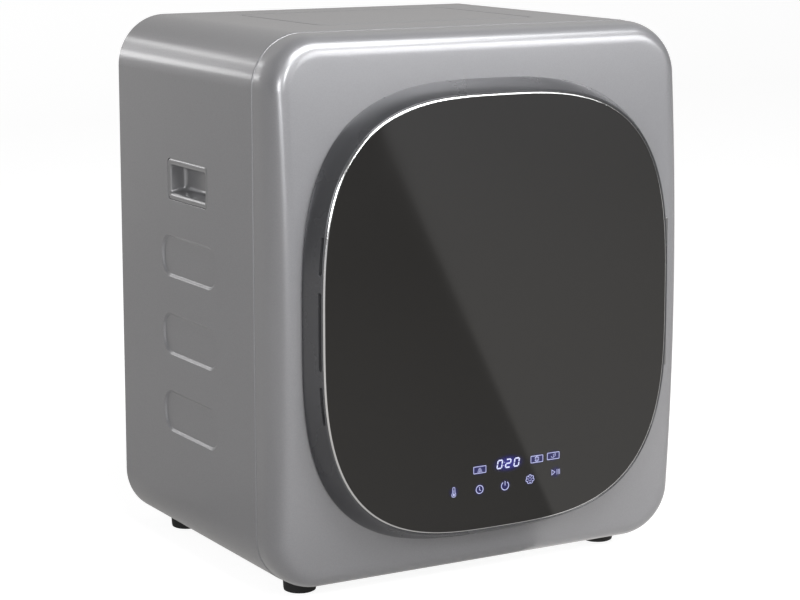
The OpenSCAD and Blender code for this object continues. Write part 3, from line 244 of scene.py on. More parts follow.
# metal flake in a clear lacquer: tiny sparks of brightness, faint clouds and a ripple
def makeFlakeGroup():
    group, start, place = newGroup("flakePaint", {
        "Colour": (0.5, 0.5, 0.5, 1), "Flake Scale": 1400.0, "Flake Amount": 0.1, "Ripple Scale": 260.0,
        "Roughness": 0.35})
    flake = addNode(group, "TexVoronoi", vector=place, scale=start["Flake Scale"])
    spark = addNode(group, "SeparateColor", color=flake.outputs["Color"]).outputs
    cloud = addNode(group, "TexNoise", vector=place, scale=5.0, detail=3.0)
    level = mathNode(group, "ADD", swing(group, spark[0], start["Flake Amount"]),
                     remap(group, cloud.outputs["Fac"], 0.3, 0.7, -0.012, 0.012))
    rough = mathNode(group, "ADD", start["Roughness"], remap(group, spark[1], 0, 1, -0.04, 0.05))
    ripple = addNode(group, "TexNoise", vector=place, scale=start["Ripple Scale"], detail=2.0)
    return endGroup(group, start, mathNode(group, "ADD", level, 1.0), rough, ripple.outputs["Fac"])


# moulded plastic: fine spark-eroded grain with soft patches from handling
def makeMouldGroup():
    group, start, place = newGroup("mouldedPlastic", {
        "Colour": (0.1, 0.1, 0.1, 1), "Grain Scale": 900.0, "Roughness": 0.4, "Patchiness": 0.06})
    grain = addNode(group, "TexNoise", vector=place, scale=start["Grain Scale"], detail=4.0, roughness=0.6)
    patch = addNode(group, "TexNoise", vector=place, scale=14.0, detail=4.0)
    stray = swing(group, patch.outputs["Fac"], start["Patchiness"])
    rough = mathNode(group, "ADD", start["Roughness"], mathNode(group, "MULTIPLY", stray, 2.0))
    return endGroup(group, start, mathNode(group, "ADD", stray, 1.0), rough, grain.outputs["Fac"])


# sheet metal: rolling lines along one axis and zinc spangle
def makeSheetGroup():
    group, start, place = newGroup("sheetMetal", {
        "Colour": (0.6, 0.6, 0.6, 1), "Line Stretch": 40.0, "Spangle": 0.1, "Roughness": 0.35})
    stretch = addNode(group, "CombineXYZ", x=30, y=900, z=mathNode(group, "MULTIPLY", start["Line Stretch"], 20.0))
    scaled = addNode(group, "VectorMath", operation="MULTIPLY")
    for socket, value in zip(scaled.inputs, (place, stretch.outputs[0])):
        group.links.new(value, socket)
    lines = addNode(group, "TexNoise", vector=scaled.outputs[0], scale=1.0, detail=3.0).outputs["Fac"]
    cells = addNode(group, "TexVoronoi", vector=place, scale=120.0)
    shade = addNode(group, "SeparateColor", color=cells.outputs["Color"])
    level = mathNode(group, "ADD", swing(group, shade.outputs[0], start["Spangle"]),
                     remap(group, lines, 0.3, 0.7, 0.95, 1.05))
    rough = mathNode(group, "ADD", start["Roughness"], remap(group, lines, 0.3, 0.7, -0.08, 0.08))
    return endGroup(group, start, level, rough, lines)


flakePaint, mouldedPlastic, sheetMetal = makeFlakeGroup(), makeMouldGroup(), makeSheetGroup()

# Materials, one for each of the record's slots

shaderSockets = dict(metallic="Metallic", coat="Coat Weight", coatRoughness="Coat Roughness", ior="IOR")
groupSockets = dict(colour="Colour", roughness="Roughness", flake="Flake Amount", grain="Grain Scale",
                    patches="Patchiness", spangle="Spangle")


def newMaterial(name, group, bump, distance=0.0002, **values):
    material = bpy.data.materials.new(name)
    material.use_nodes = True
    tree = material.node_tree
    shader = tree.nodes["Principled BSDF"]
    node = addNode(tree, "Group", node_tree=group)
    for key, value in values.items():
        socket = shader.inputs[shaderSockets[key]] if key in shaderSockets else node.inputs[groupSockets[key]]
        socket.default_value = value
    tree.links.new(node.outputs["Colour"], shader.inputs["Base Color"])
    tree.links.new(node.outputs["Roughness"], shader.inputs["Roughness"])
    if bump:
        lift = addNode(tree, "Bump", strength=bump, distance=distance, height=node.outputs["Height"])
        tree.links.new(lift.outputs["Normal"], shader.inputs["Normal"])
    return material


def grey(level, blue=0.0):
    return (level, level, level * (1 + blue), 1)


paint = dict(bump=0.03, metallic=0.55, coatRoughness=0.16)  # what both silver paints share
slotMaterials = {
    "silver_body": newMaterial("bodySilver", flakePaint, colour=grey(0.32, 0.045), roughness=0.42, flake=0.10,
                               coat=0.7, **paint),
    "silver_front": newMaterial("frontSilver", flakePaint, colour=grey(0.33, 0.045), roughness=0.36, flake=0.08,
                                coat=0.8, **paint),
    "silver_insert": newMaterial("pocketSilver", mouldedPlastic, 0.03, colour=grey(0.31, 0.03), roughness=0.30,
                                 grain=1200.0, metallic=0.55, coat=0.4, coatRoughness=0.1),
    "door_grey": newMaterial("ringGrey", mouldedPlastic, 0.02, colour=(0.088, 0.089, 0.095, 1), roughness=0.28,
                             grain=1500.0, metallic=0.6, coat=0.3, coatRoughness=0.14),
    "bright_trim": newMaterial("brightTrim", sheetMetal, 0, colour=grey(0.82), roughness=0.16, spangle=0.0,
                               metallic=1.0),
    "black_glass": newMaterial("blackGlass", mouldedPlastic, 0, colour=(0.0105, 0.0098, 0.0088, 1),
                               roughness=0.045, grain=40.0, patches=0.02, ior=1.5),
    "liner_grey": newMaterial("linerPlastic", mouldedPlastic, 0.06, colour=grey(0.26), roughness=0.38, grain=700.0),
    "black_plastic": newMaterial("blackPlastic", mouldedPlastic, 0.08, colour=grey(0.02), roughness=0.42),
    "dark_plastic": newMaterial("ductPlastic", mouldedPlastic, 0.08, colour=grey(0.07), roughness=0.5),
    "white_plastic": newMaterial("whitePlastic", mouldedPlastic, 0.05, colour=(0.72, 0.72, 0.69, 1), roughness=0.4),
    "black_rubber": newMaterial("softRubber", mouldedPlastic, 0.15, colour=grey(0.018), roughness=0.72,
                                grain=1600.0, patches=0.2),
    "felt": newMaterial("woolFelt", mouldedPlastic, 0.6, 0.0006, colour=(0.62, 0.58, 0.48, 1), roughness=0.95,
                        grain=2200.0, patches=0.25),
    "galvanised": newMaterial("galvanisedSheet", sheetMetal, 0.05, colour=grey(0.5), roughness=0.4, spangle=0.16,
                              metallic=0.85),
    "steel": newMaterial("stainlessDrum", sheetMetal, 0.04, colour=grey(0.62), roughness=0.24, spangle=0.02,
                         metallic=1.0),
    "painted_steel": newMaterial("greyPaintedSteel", mouldedPlastic, 0.06, colour=grey(0.16), roughness=0.38,
                                 grain=600.0, metallic=0.3, coat=0.2),
    "bronze": newMaterial("sinteredBronze", mouldedPlastic, 0.1, colour=(0.42, 0.27, 0.12, 1), roughness=0.45,
                          metallic=0.9),
    "motor_metal": newMaterial("castMetal", mouldedPlastic, 0.25, colour=grey(0.3), roughness=0.5, grain=500.0,
                               patches=0.15, metallic=0.8),
    "board_green": newMaterial("circuitBoard", mouldedPlastic, 0.1, colour=(0.015, 0.12, 0.05, 1), roughness=0.35),
    "red_plastic": newMaterial("redPlastic", mouldedPlastic, 0.05, colour=(0.5, 0.04, 0.03, 1), roughness=0.35),
    "mesh": newMaterial("filterMesh", mouldedPlastic, 0.8, 0.0004, colour=(0.72, 0.72, 0.7, 1), roughness=0.8,
                        grain=3000.0)}
for row in frame["record"]["subparts"]:
    obj = nodes[row["node"]]
    obj.data.materials.clear()
    obj.data.materials.append(slotMaterials[row["material_slot"]])
    smoothByAngle(obj, 35)
print("materials: made", len(bpy.data.materials))


# Front fascia: one lofted skin from the seam over the rim and into the door's well

fascia = dict(crown=0.020, rimWidth=0.0185, rimDepth=0.033, wellDepth=0.008, openingX=0.248, openingZ=0.271,
              openingPower=3.0, openingRound=0.0022, openingSteps=4, faceSteps=6, edgeRound=0.0009,
              rimInset=0.0007, rimCrown=0.25,  # the share of the crown at the rim's foot
              sideBend=(0.028, 3.3), topBend=(0.034, 4.0),  # width and power of the rim's bend
              bendAngles=[0.0] + [4.5 * j for j in range(1, 20)] + [87.5, 89.0, 90.0],
              seamInset=0.0032, backInset=0.0034, backDepth=0.004, wellGrow=1.012, wellBack=0.0035)


def crownAt(z):
    return fascia["crown"] * max(0.0, 1 - ((z - cabinet["middle"]) / cabinet["halfHeight"]) ** 2)


def makeFascia():
    shell = Shell()
    outer, inner = cabinetLoop(0), cabinetLoop(0.01)
    ySeam, yEdge, middle = cabinet["ySeam"], cabinet["yEdge"], door["z"]
    inset, e, behind = fascia["rimInset"], fascia["edgeRound"], fascia["backDepth"]

    def ring(loop, depth, share):
        return [(x, depth - share * crownAt(z), z) for x, z in loop]

    loops = [ring(cabinetLoop(fascia["seamInset"]), y, 0) for y in (ySeam + behind, ySeam)]
    for a in (math.radians(30 * j) for j in range(4)):
        loops.append(ring(cabinetLoop(inset + e * (1 - math.sin(a))), ySeam - e * (1 - math.cos(a)), 0))

    # the rim bends more tightly at the sides than at the top, and changes over round the corners
    yRim = yEdge + fascia["rimDepth"]
    upward = [abs(z - c) / math.hypot(x - a, z - c) for (x, z), (a, c) in zip(outer, inner)]
    for a in (math.radians(angle) for angle in fascia["bendAngles"]):
        bySide, byTop = (cabinetLoop(width - (width - inset) * max(math.cos(a), 0.0) ** (2 / power))
                         for width, power in (fascia["sideBend"], fascia["topBend"]))
        edge = [(x0 + (x1 - x0) * share, z0 + (z1 - z0) * share)
                for (x0, z0), (x1, z1), share in zip(bySide, byTop, upward)]
        low = fascia["rimCrown"]
        loops.append(ring(edge, yRim - fascia["rimDepth"] * math.sin(a), low + (1 - low) * math.sin(a)))

    opening = []
    for x, z in outer:
        a, b = squircle(fascia["openingX"], fascia["openingZ"], fascia["openingPower"], math.atan2(z - middle, x))
        opening.append((a, b + middle))

    def between(f, grow=0.0):
        loop = []
        for (x, z), (a, b) in zip(edge, opening):
            n = Vector((a, b - middle)).normalized() * grow
            loop.append((x + (a + n.x - x) * f, z + (b + n.y - z) * f))
        return loop

    for j in range(1, fascia["faceSteps"]):
        loops.append(ring(between(j / fascia["faceSteps"]), yEdge, 1))
    r = fascia["openingRound"]
    for a in (math.radians(90 * j / fascia["openingSteps"]) for j in range(fascia["openingSteps"] + 1)):
        loops.append([(x, y + r * (1 - math.cos(a)), z)
                      for x, y, z in ring(between(1.0, r * (1 - math.sin(a))), yEdge, 1)])

    # well and the skin's hidden back
    well, grow = yEdge + fascia["wellDepth"], fascia["wellGrow"]
    loops.append(ring(opening, well, 0))
    for y, share in ((well, 0), (yEdge + fascia["wellBack"], 1)):
        loops.append([(a * grow, y - share * crownAt(b), (b - middle) * grow + middle) for a, b in opening])
    loops.append(ring(cabinetLoop(fascia["rimWidth"] + behind), yEdge + behind, 1))
    loops.append(ring(cabinetLoop(fascia["backInset"]), yRim + behind, fascia["rimCrown"]))
    shell.loft(loops, wrap=True)
    skin = shell.build("fasciaSkin", slotMaterials["silver_front"], 40)
    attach(skin, "cabinet")
    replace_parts(skin, "front_fascia")


makeFascia()
print("fascia: made")


# Housing: rounded tube with recesses pressed into its sides and a panel set off in its roof

housing = dict(frontRound=0.0022, backRound=0.0009, lengthSteps=12, hem=0.0004, hemDepth=0.02, leastCorner=0.002)
# the side's details stand 6 mm nearer to the front than in the solids, as in the photograph
handle = dict(y=0.018, z=0.4925, length=0.118, height=0.052, radius=0.008, lip=0.006, depth=0.024, wall=0.002,
              gap=0.0003, rim=[(-0.0006, 0), (-0.0003, 0.00008), (-0.00008, 0.0003), (0, 0.0006)],
              rebate=0.0022, landing=0.0004, behind=0.004)
pads = dict(y=0.018, length=0.163, height=0.0555, radius=0.025, reach=0.0044, depth=0.0029, wallSteps=12,
            heights=(0.3932, 0.2916, 0.1900))
# the groove is given by pairs of offset and depth, from the panel's outline inwards
roofPanel = dict(x=0.005, y=0.044, width=0.318, length=0.244, radius=0.016,
                 groove=[(0, 0), (0.0010, 0.0002), (0.0020, 0.0009), (0.0028, 0.0019), (0.0034, 0.0023),
                         (0.0040, 0.0024), (0.0046, 0.0022), (0.0052, 0.0017), (0.0058, 0.0009),
                         (0.0066, 0.0002), (0.0074, 0.00005)])
vents = dict(count=9, pitch=0.016, halfWidth=0.0025, halfLength=0.045, radius=0.0024, y=0.024, depth=0.003)


# lofts a recess: loopAt(offset) gives its outline, and steps are pairs of offset and depth
def sink(shell, loopAt, steps, place):
    shell.loft([[place(a, b, depth) for a, b in loopAt(offset)] for offset, depth in steps])


def padLoop(offset, z):
    return roundedLoop(pads["length"] / 2 - offset, pads["height"] / 2 - offset,
                       max(pads["radius"] - offset, housing["leastCorner"]), pads["y"], z, 14, 6)


def handleLoop(offset):
    return roundedLoop(handle["length"] / 2 + handle["gap"] - offset, handle["height"] / 2 + handle["gap"] - offset,
                       max(handle["radius"] - offset, housing["leastCorner"]), handle["y"], handle["z"], 10, 4)


def roofLoop(offset):
    return roundedLoop(roofPanel["width"] / 2 - offset, roofPanel["length"] / 2 - offset,
                       roofPanel["radius"] - offset, roofPanel["x"], roofPanel["y"], 12, 6)


def makeHousing():
    shell = Shell()
    w, low, high, r = cabinet["halfWidth"], cabinet["low"], cabinet["high"], cabinet["cornerRadius"]
    y0, y1 = cabinet["ySeam"] + cabinet["seamGap"], cabinet["yBack"]
    front, back, parts = housing["frontRound"], housing["backRound"], housing["lengthSteps"]
    stations = [y0 + front + (y1 - y0 - front - back) * k / parts for k in range(parts + 1)]
    for cx, cz, start in ((w - r, high - r, 0), (r - w, high - r, 90), (r - w, low + r, 180), (w - r, low + r, 270)):
        arc = arcPoints(cx, cz, r, [start + 90 * j / 20 for j in range(21)])
        shell.loft([[(x, y, z) for x, z in arc] for y in stations], closed=False)

    # rolled edges at the seam and at the back
    wall, hem = cabinet["wall"], housing["hem"]
    for y, way, e in ((y0, 1, front), (y1, -1, back)):
        steps = [(e * (1 - math.cos(a)), e * (1 - math.sin(a))) for a in (math.radians(15 * j) for j in range(7))]
        steps += [(wall - hem, 0), (wall, hem), (wall, housing["hemDepth"])]
        shell.loft([[(x, y + way * depth, z) for x, z in cabinetLoop(inset, side=1)] for inset, depth in steps])

    # sides: the recesses' walls round in at the top and out at the foot
    outline = [(y, low + r) for y in stations] + [(y, high - r) for y in reversed(stations)]
    shares = [j / pads["wallSteps"] for j in range(pads["wallSteps"] + 1)]
    padWall = [(pads["reach"] * f, pads["depth"] * (0.5 - 0.5 * math.cos(math.pi * f))) for f in shares]
    rebate, hidden = handle["rebate"], handle["lip"] + handle["landing"]
    handleWall = handle["rim"] + [(0, rebate), (hidden, rebate), (hidden, handle["behind"])]
    for sign in (-1, 1):
        def place(y, z, depth=0.0, s=sign):
            return (s * (w - depth), y, z)

        holes = []
        for z in pads["heights"]:
            holes.append(padLoop(0, z))
            sink(shell, lambda offset, zc=z: padLoop(offset, zc), padWall, place)
            shell.flat(padLoop(pads["reach"], z), [], lambda y, z2, p=place: p(y, z2, pads["depth"]))
        holes.append(handleLoop(handleWall[0][0]))
        sink(shell, handleLoop, handleWall, place)
        shell.flat(outline, holes, place)

    # roof and underside
    groove = roofPanel["groove"]
    sink(shell, roofLoop, groove, lambda x, y, depth: (x, y, high - depth))
    shell.flat(roofLoop(groove[-1][0]), [], lambda x, y: (x, y, high - groove[-1][1]))
    outline = [(r - w, y) for y in stations] + [(w - r, y) for y in reversed(stations)]
    shell.flat(outline, [roofLoop(0)], lambda x, y: (x, y, high))
    slots = []
    for i in range(vents["count"]):
        slots.append(roundedLoop(vents["halfWidth"], vents["halfLength"], vents["radius"],
                                 (i - vents["count"] // 2) * vents["pitch"], vents["y"], 6, 1))
        shell.loft([[(x, y, low + depth) for x, y in slots[-1]] for depth in (0, vents["depth"])])
    shell.flat(outline, slots, lambda x, y: (x, y, low))
    skin = shell.build("housingSkin", slotMaterials["silver_body"], 40)
    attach(skin, "cabinet")
    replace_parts(skin, "housing")


makeHousing()
print("housing: made")


# Carry-handle pockets: flange in the rebate, drafted walls and a rounded back

pocket = dict(bead=0.0011, mouthRound=0.0022, draft=0.0022, backRound=0.006, backCorner=0.005, flange=0.0019,
              cornerLoss=0.004, mouthReach=0.003, beadSteps=8)


def makePocket(name, sign):
    shell = Shell()
    lip, deep = handle["lip"] + handle["wall"], handle["depth"] - handle["wall"]
    m, b, draft = pocket["mouthRound"], pocket["backRound"], pocket["draft"]

    def loop(offset):
        atMouth = offset < lip + pocket["mouthReach"]
        r = handle["radius"] - min(offset, pocket["cornerLoss"]) if atMouth else pocket["backCorner"]
        return roundedLoop(handle["length"] / 2 - offset, handle["height"] / 2 - offset, r,
                           handle["y"], handle["z"], 10, 4)

    def place(y, z, depth=deep):
        return (sign * (cabinet["halfWidth"] - depth), y, z)

    steps = [(0, pocket["flange"])]
    for f in (j / pocket["beadSteps"] for j in range(pocket["beadSteps"] + 1)):
        steps.append(((lip - m * 0.5) * f, pocket["bead"] * (1 - math.sin(math.pi * f) ** 0.8)))
    steps += [(lip - m * 0.2, m * 0.7), (lip, m * 1.2), (lip + draft * 0.5, deep * 0.5), (lip + draft, deep - b)]
    for a in (math.radians(15 * j) for j in range(1, 7)):
        steps.append((lip + draft + b * (1 - math.cos(a)), deep - b + b * math.sin(a)))
    sink(shell, loop, steps, place)
    shell.flat(loop(steps[-1][0]), [], place)
    skin = shell.build(name, slotMaterials["silver_insert"], 50)
    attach(skin, "cabinet")
    return skin


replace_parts(makePocket("pocketSkinLeft", -1), "handle_pocket_left")
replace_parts(makePocket("pocketSkinRight", 1), "handle_pocket_right")
print("pockets: made")


# Door: ring, bezel, glass and its touch symbols

# edge and back are pairs of share and inset, lip is pairs of growth past the glass and depth
ringFrame = dict(steps=18, edge=[(0.0, door["frameWall"]), (0.0, 0.0008), (0.012, 0.0002)], lastShare=0.985,
                 lip=[(0.0011, -0.0001), (0.0004, 0.0), (0.0, 0.0004)], seat=0.0043, seatBack=0.0068,
                 seatInset=-0.008, back=[(0.62, door["frameWall"]), (0.3, door["frameWall"])],
                 slotLengths=(0.046, 0.094, 0.046), slotPitch=0.0890, slotWidth=0.0034, slotBehind=0.0006,
                 slotReach=(-0.263, -0.243))
hinge = dict(x=0.256, y=-0.238, radius=0.0045, gap=0.0012, length=0.190, under=0.002, over=0.004,
             notch=(0.264, -0.226))
turns = [2 * math.pi * k / door["turns"] for k in range(door["turns"])]
yLip = door["yGlass"] + door["lipBack"]


# the ring's face at a share s of the way from its foot to its lip
def ringLoop(s, inset=0.0):
    loop, lip, k = [], door["lipInset"] + door["lipWall"], s ** door["flare"]
    for t in turns:
        a, b = squircle(door["halfX"] - inset, door["halfZ"] - inset, door["power"], t)
        c, d = squircle(door["glassX"] + lip - inset, door["glassZ"] + lip - inset, door["glassPower"], t)
        y0 = cabinet["yEdge"] - crownAt(b + door["z"]) - door["gap"]
        loop.append((a + (c - a) * k, y0 + (yLip - y0) * s, b + (d - b) * k + door["z"]))
    return loop


def glassLoop(grow, y):
    loop = []
    for t in turns:
        a, b = squircle(door["glassX"] + grow, door["glassZ"] + grow, door["glassPower"], t)
        loop.append((a, y, b + door["z"]))
    return loop


# takes the cutters' forms out of the object's mesh
def carve(obj, cutters):
    for cutter in cutters:
        change = obj.modifiers.new("cut", "BOOLEAN")
        change.operation, change.solver, change.object = "DIFFERENCE", "EXACT", cutter
    graph = bpy.context.evaluated_depsgraph_get()
    mesh = bpy.data.meshes.new_from_object(obj.evaluated_get(graph))
    obj.modifiers.clear()
    obj.data = mesh
    for cutter in cutters:
        bpy.data.objects.remove(cutter)


# a closed prism between low and high over an outline, placed by a function
def prism(name, outline, place, low, high):
    shell, count = Shell(), len(outline)
    shell.loft([[place(a, b, v) for a, b in outline] for v in (low, high)])
    shell.faces += [tuple(range(count)), tuple(range(count, 2 * count))]
    return shell.build(name, None)


def makeRing():
    shell = Shell()
    look, inner, yGlass = ringFrame, door["lipInset"], door["yGlass"]
    loops = [ringLoop(share, inset) for share, inset in look["edge"]]
    loops += [ringLoop(j / look["steps"]) for j in range(1, look["steps"])] + [ringLoop(look["lastShare"])]
    loops += [glassLoop(inner + grow, yLip + depth) for grow, depth in look["lip"]]
    loops += [glassLoop(grow, yGlass + depth) for grow, depth in (
        (inner, look["seat"]), (look["seatInset"], look["seat"]), (look["seatInset"], look["seatBack"]))]
    loops += [ringLoop(share, inset) for share, inset in look["back"]]
    shell.loft(loops, wrap=True)
    skin = shell.build("ringSkin", slotMaterials["door_grey"])

    # slots in the left edge, and room for the hinge's barrel
    cutters = []
    half = look["slotWidth"] / 2
    for i, length in enumerate(look["slotLengths"]):
        outline = roundedLoop(half, length / 2, half - 0.00001, yLip + look["slotBehind"] + half,
                              door["z"] + (i - 1) * look["slotPitch"], 8)
        cutters.append(prism("slotCutter", outline, lambda y, z, x: (x, y, z), *look["slotReach"]))
    span = (door["z"] - hinge["length"] / 2 - hinge["under"], door["z"] + hinge["length"] / 2 + hinge["over"])
    r, (xNotch, yNotch) = hinge["radius"] + hinge["gap"], hinge["notch"]
    outline = arcPoints(hinge["x"], hinge["y"], r, range(180, 361, 10))
    outline += [(xNotch, hinge["y"]), (xNotch, yNotch), (hinge["x"] - r, yNotch)]
    cutters.append(prism("barrelCutter", outline, lambda x, y, z: (x, y, z), *span))
    carve(skin, cutters)
    smoothByAngle(skin, 35)
    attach(skin, "door")
    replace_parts(skin, "door_frame")


bezel = dict(gap=0.0002, behind=0.0004, innerRound=0.0001, innerDrop=0.0003, drop=0.0017, curve=1.5, steps=10,
             back=0.004)


def makeBezel():
    shell = Shell()
    gap, y0, yBack = bezel["gap"], door["yGlass"] + bezel["behind"], door["yGlass"] + bezel["back"]
    width, e = door["lipInset"] - 2 * gap, bezel["innerRound"]
    loops = [glassLoop(gap, yBack), glassLoop(gap, y0 + bezel["innerDrop"])]
    for f in (j / bezel["steps"] for j in range(bezel["steps"] + 1)):
        loops.append(glassLoop(gap + e + (width - e) * f, y0 + bezel["drop"] * f ** bezel["curve"]))
    loops.append(glassLoop(gap + width, yBack))
    shell.loft(loops, wrap=True)
    skin = shell.build("bezelSkin", slotMaterials["bright_trim"], 50)
    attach(skin, "door")
    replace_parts(skin, "door_bezel")


glass = dict(thickness=0.004, round=0.0005)


def makeGlass():
    shell = Shell()
    r, y0 = glass["round"], door["yGlass"] + door["faceBack"]
    yBack = y0 + glass["thickness"]
    loops = [glassLoop(0, yBack)]
    for a in (math.radians(22.5 * j) for j in range(5)):
        loops.append(glassLoop(-r * (1 - math.cos(a)), y0 + r * (1 - math.sin(a))))
    shell.loft(loops)
    for loop, depth in ((loops[-1], y0), (loops[0], yBack)):
        shell.flat([(x, z) for x, y, z in loop], [], lambda x, z, y=depth: (x, y, z))
    skin = shell.build("glassSkin", slotMaterials["black_glass"], 30)
    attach(skin, "door")
    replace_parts(skin, "door_glass")


# Touch symbols, drawn in millimetres as flat strokes just in front of the glass

symbols = dict(stroke=1.1, figureStroke=1.75, slant=0.17, lift=0.00012, box=(8.8, 4.2), figure=(3.3, 5.0),
               thermometer=(-68.5, 129.0), clock=(-31.5, 127.5), power=(5.4, 127.3), blossom=(42.0, 130.7),
               playPause=(80.0, 135.0), steamBox=(-31.3, 152.3), fanBox=(52.0, 155.3), careBox=(76.3, 156.3),
               figures=((-2.4, "abcdef"), (9.9, "abged"), (22.2, "abcdef")), figuresZ=155.3, colonX=3.7,
               markGlow=0.42, boxGlow=(13.0, 8.5, 0.6), figureGlow=(26.0, 12.5, 1.0),  # half sizes and strength
               haloLayer=0.4, wellLayer=0.7)  # shares of the strokes' lift off the glass


# collects ribbons, filled outlines and soft patches
class Strokes:
    def __init__(self):
        self.verts, self.faces, self.fade = [], [], []

    def ribbon(self, points, share=1.0, closed=False, width=symbols["stroke"]):
        pts = [Vector(p) for p in points]
        count, base = len(pts), len(self.verts)
        for i, p in enumerate(pts):
            before = pts[i - 1] if i > 0 or closed else p
            after = pts[(i + 1) % count] if i < count - 1 or closed else p
            one = (p - before).normalized() if (p - before).length > 0 else (after - p).normalized()
            two = (after - p).normalized() if (after - p).length > 0 else one
            turn = (one + two).normalized() if (one + two).length > 1e-6 else one
            side = Vector((-turn.y, turn.x)) * (width * share / 2 / max(0.5, turn.dot(one)))
            self.verts += [p + side, p - side]
            self.fade += [1.0, 1.0]
        for i in range(count if closed else count - 1):
            a, b = base + 2 * i, base + 2 * ((i + 1) % count)
            self.faces.append((a, a + 1, b + 1, b))

    def filled(self, points):
        base = len(self.verts)
        self.verts += [Vector(p) for p in points]
        self.fade += [1.0] * len(points)
        self.faces.append(tuple(range(base, base + len(points))))

    def arc(self, x, z, r, start, stop, share, steps=24):
        self.ribbon(arcPoints(x, z, r, [start + (stop - start) * j / steps for j in range(steps + 1)]),
                    share, abs(stop - start) >= 360)

    # a soft patch whose strength fades outwards
    def glow(self, x, z, halfX, halfZ, strength, rings=7, around=40):
        base = len(self.verts)
        self.verts.append(Vector((x, z)))
        self.fade.append(strength)
        for f in (j / rings for j in range(1, rings + 1)):
            for a in (2 * math.pi * k / around for k in range(around)):
                self.verts.append(Vector((x + halfX * f * math.cos(a), z + halfZ * f * math.sin(a))))
                self.fade.append(strength * (0.5 + 0.5 * math.cos(math.pi * f)))
        for k in range(around):
            self.faces.append((base, base + 1 + k, base + 1 + (k + 1) % around))
        for a in (base + 1 + j * around for j in range(rings - 1)):
            for k in range(around):
                n = (k + 1) % around
                self.faces.append((a + k, a + around + k, a + around + n, a + n))

    def build(self, name, material, lift):
        mesh = bpy.data.meshes.new(name)
        y = door["yGlass"] + door["faceBack"] - lift
        mesh.from_pydata([(p.x / 1000, y, p.y / 1000) for p in self.verts], [], self.faces)
        mesh.materials.append(material)
        mesh.attributes.new("fade", "FLOAT", "POINT").data.foreach_set("value", self.fade)
        obj = linkObject(name, mesh)
        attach(obj, "door")


def drawThermometer(marks, x, z):
    bulb = z - 3.4
    tube = arcPoints(x, z + 4.6, 1.5, range(0, 181, 20))
    marks.ribbon(tube + arcPoints(x, bulb, 2.9, range(122, 419, 18)), 0.8, True)
    marks.filled(arcPoints(x, bulb, 1.5, range(0, 360, 24)))
    marks.ribbon([(x, bulb), (x, z + 2.6)], 0.55)


def drawClock(marks, x, z):
    marks.arc(x, z, 5.0, 0, 360, 1.0, 40)
    marks.ribbon([(x - 0.2, z + 3.2), (x - 0.2, z - 0.4), (x + 1.9, z - 1.7)], 0.8)


def drawPower(marks, x, z):
    marks.arc(x, z, 5.3, 124, 416, 1.05, 40)
    marks.ribbon([(x, z + 6.0), (x, z + 0.2)], 0.95)


def drawBlossom(marks, x, z):
    for turn in (360 * k / 7 + 90 for k in range(7)):
        a = math.radians(turn)
        marks.arc(x + 4.3 * math.cos(a), z + 4.0 * math.sin(a), 1.75, turn - 125, turn + 125, 0.8, 14)
    marks.arc(x, z, 2.0, 0, 360, 0.5, 20)


def drawPlayPause(marks, x, z):
    marks.ribbon([(x - 5.6, z - 3.2), (x - 5.6, z + 3.2), (x - 0.8, z)], 0.8, True)
    for bar in (x + 2.0, x + 4.0, x + 6.0):
        marks.ribbon([(bar, z - 3.4), (bar, z + 3.4)], 0.7)


def drawSteam(marks, x, z):
    marks.ribbon([(x - 3.6, z - 2.6), (x + 3.6, z - 2.6)], 0.6)
    for k in range(3):
        half = 3.0 - 0.8 * k
        marks.ribbon([(x - half + 2 * half * f, z - 1.3 + 1.5 * k + 0.35 * math.sin(3 * math.pi * f))
                      for f in (j / 10 for j in range(11))], 0.55)


def drawFan(marks, x, z):
    for turn, (a, b) in zip((0, 120, 240), arcPoints(x, z, 0.9, (0, 120, 240))):
        marks.arc(a, b, 1.7, turn - 60, turn + 150, 0.6, 14)
    for start in (20, 200):
        marks.arc(x, z, 3.2, start, start + 140, 0.5, 12)


def drawCare(marks, x, z):
    for line in (((-3.2, -0.2), (-2.2, -2.0), (0.6, -2.0), (1.0, -0.6), (-0.6, -0.4)),
                 ((-0.2, 0.4), (0.8, 1.8), (3.6, 2.2), (3.0, -0.2), (1.4, -1.2))):
        marks.ribbon([(x + a, z + b) for a, b in line], 0.55)


# seven strokes a figure; their ends are in half widths and half heights
def drawFigures(figures):
    strokes = dict(a=((-1, 1), (1, 1)), b=((1, 1), (1, 0)), c=((1, 0), (1, -1)), d=((1, -1), (-1, -1)),
                   e=((-1, -1), (-1, 0)), f=((-1, 0), (-1, 1)), g=((-1, 0), (1, 0)))
    (halfX, halfZ), slant, z = symbols["figure"], symbols["slant"], symbols["figuresZ"]
    for centre, lit in symbols["figures"]:
        for key in lit:
            start, stop = (Vector((a * halfX, b * halfZ)) for a, b in strokes[key])
            step = (stop - start).normalized() * 0.45
            figures.ribbon([(centre + p.x + slant * p.y, z + p.y) for p in (start + step, stop - step)],
                           width=symbols["figureStroke"])
    for dz in (-1.9, 1.9):  # the colon
        figures.filled(roundedLoop(0.45, 0.45, 0.4, symbols["colonX"] + slant * dz, z + dz, 3))


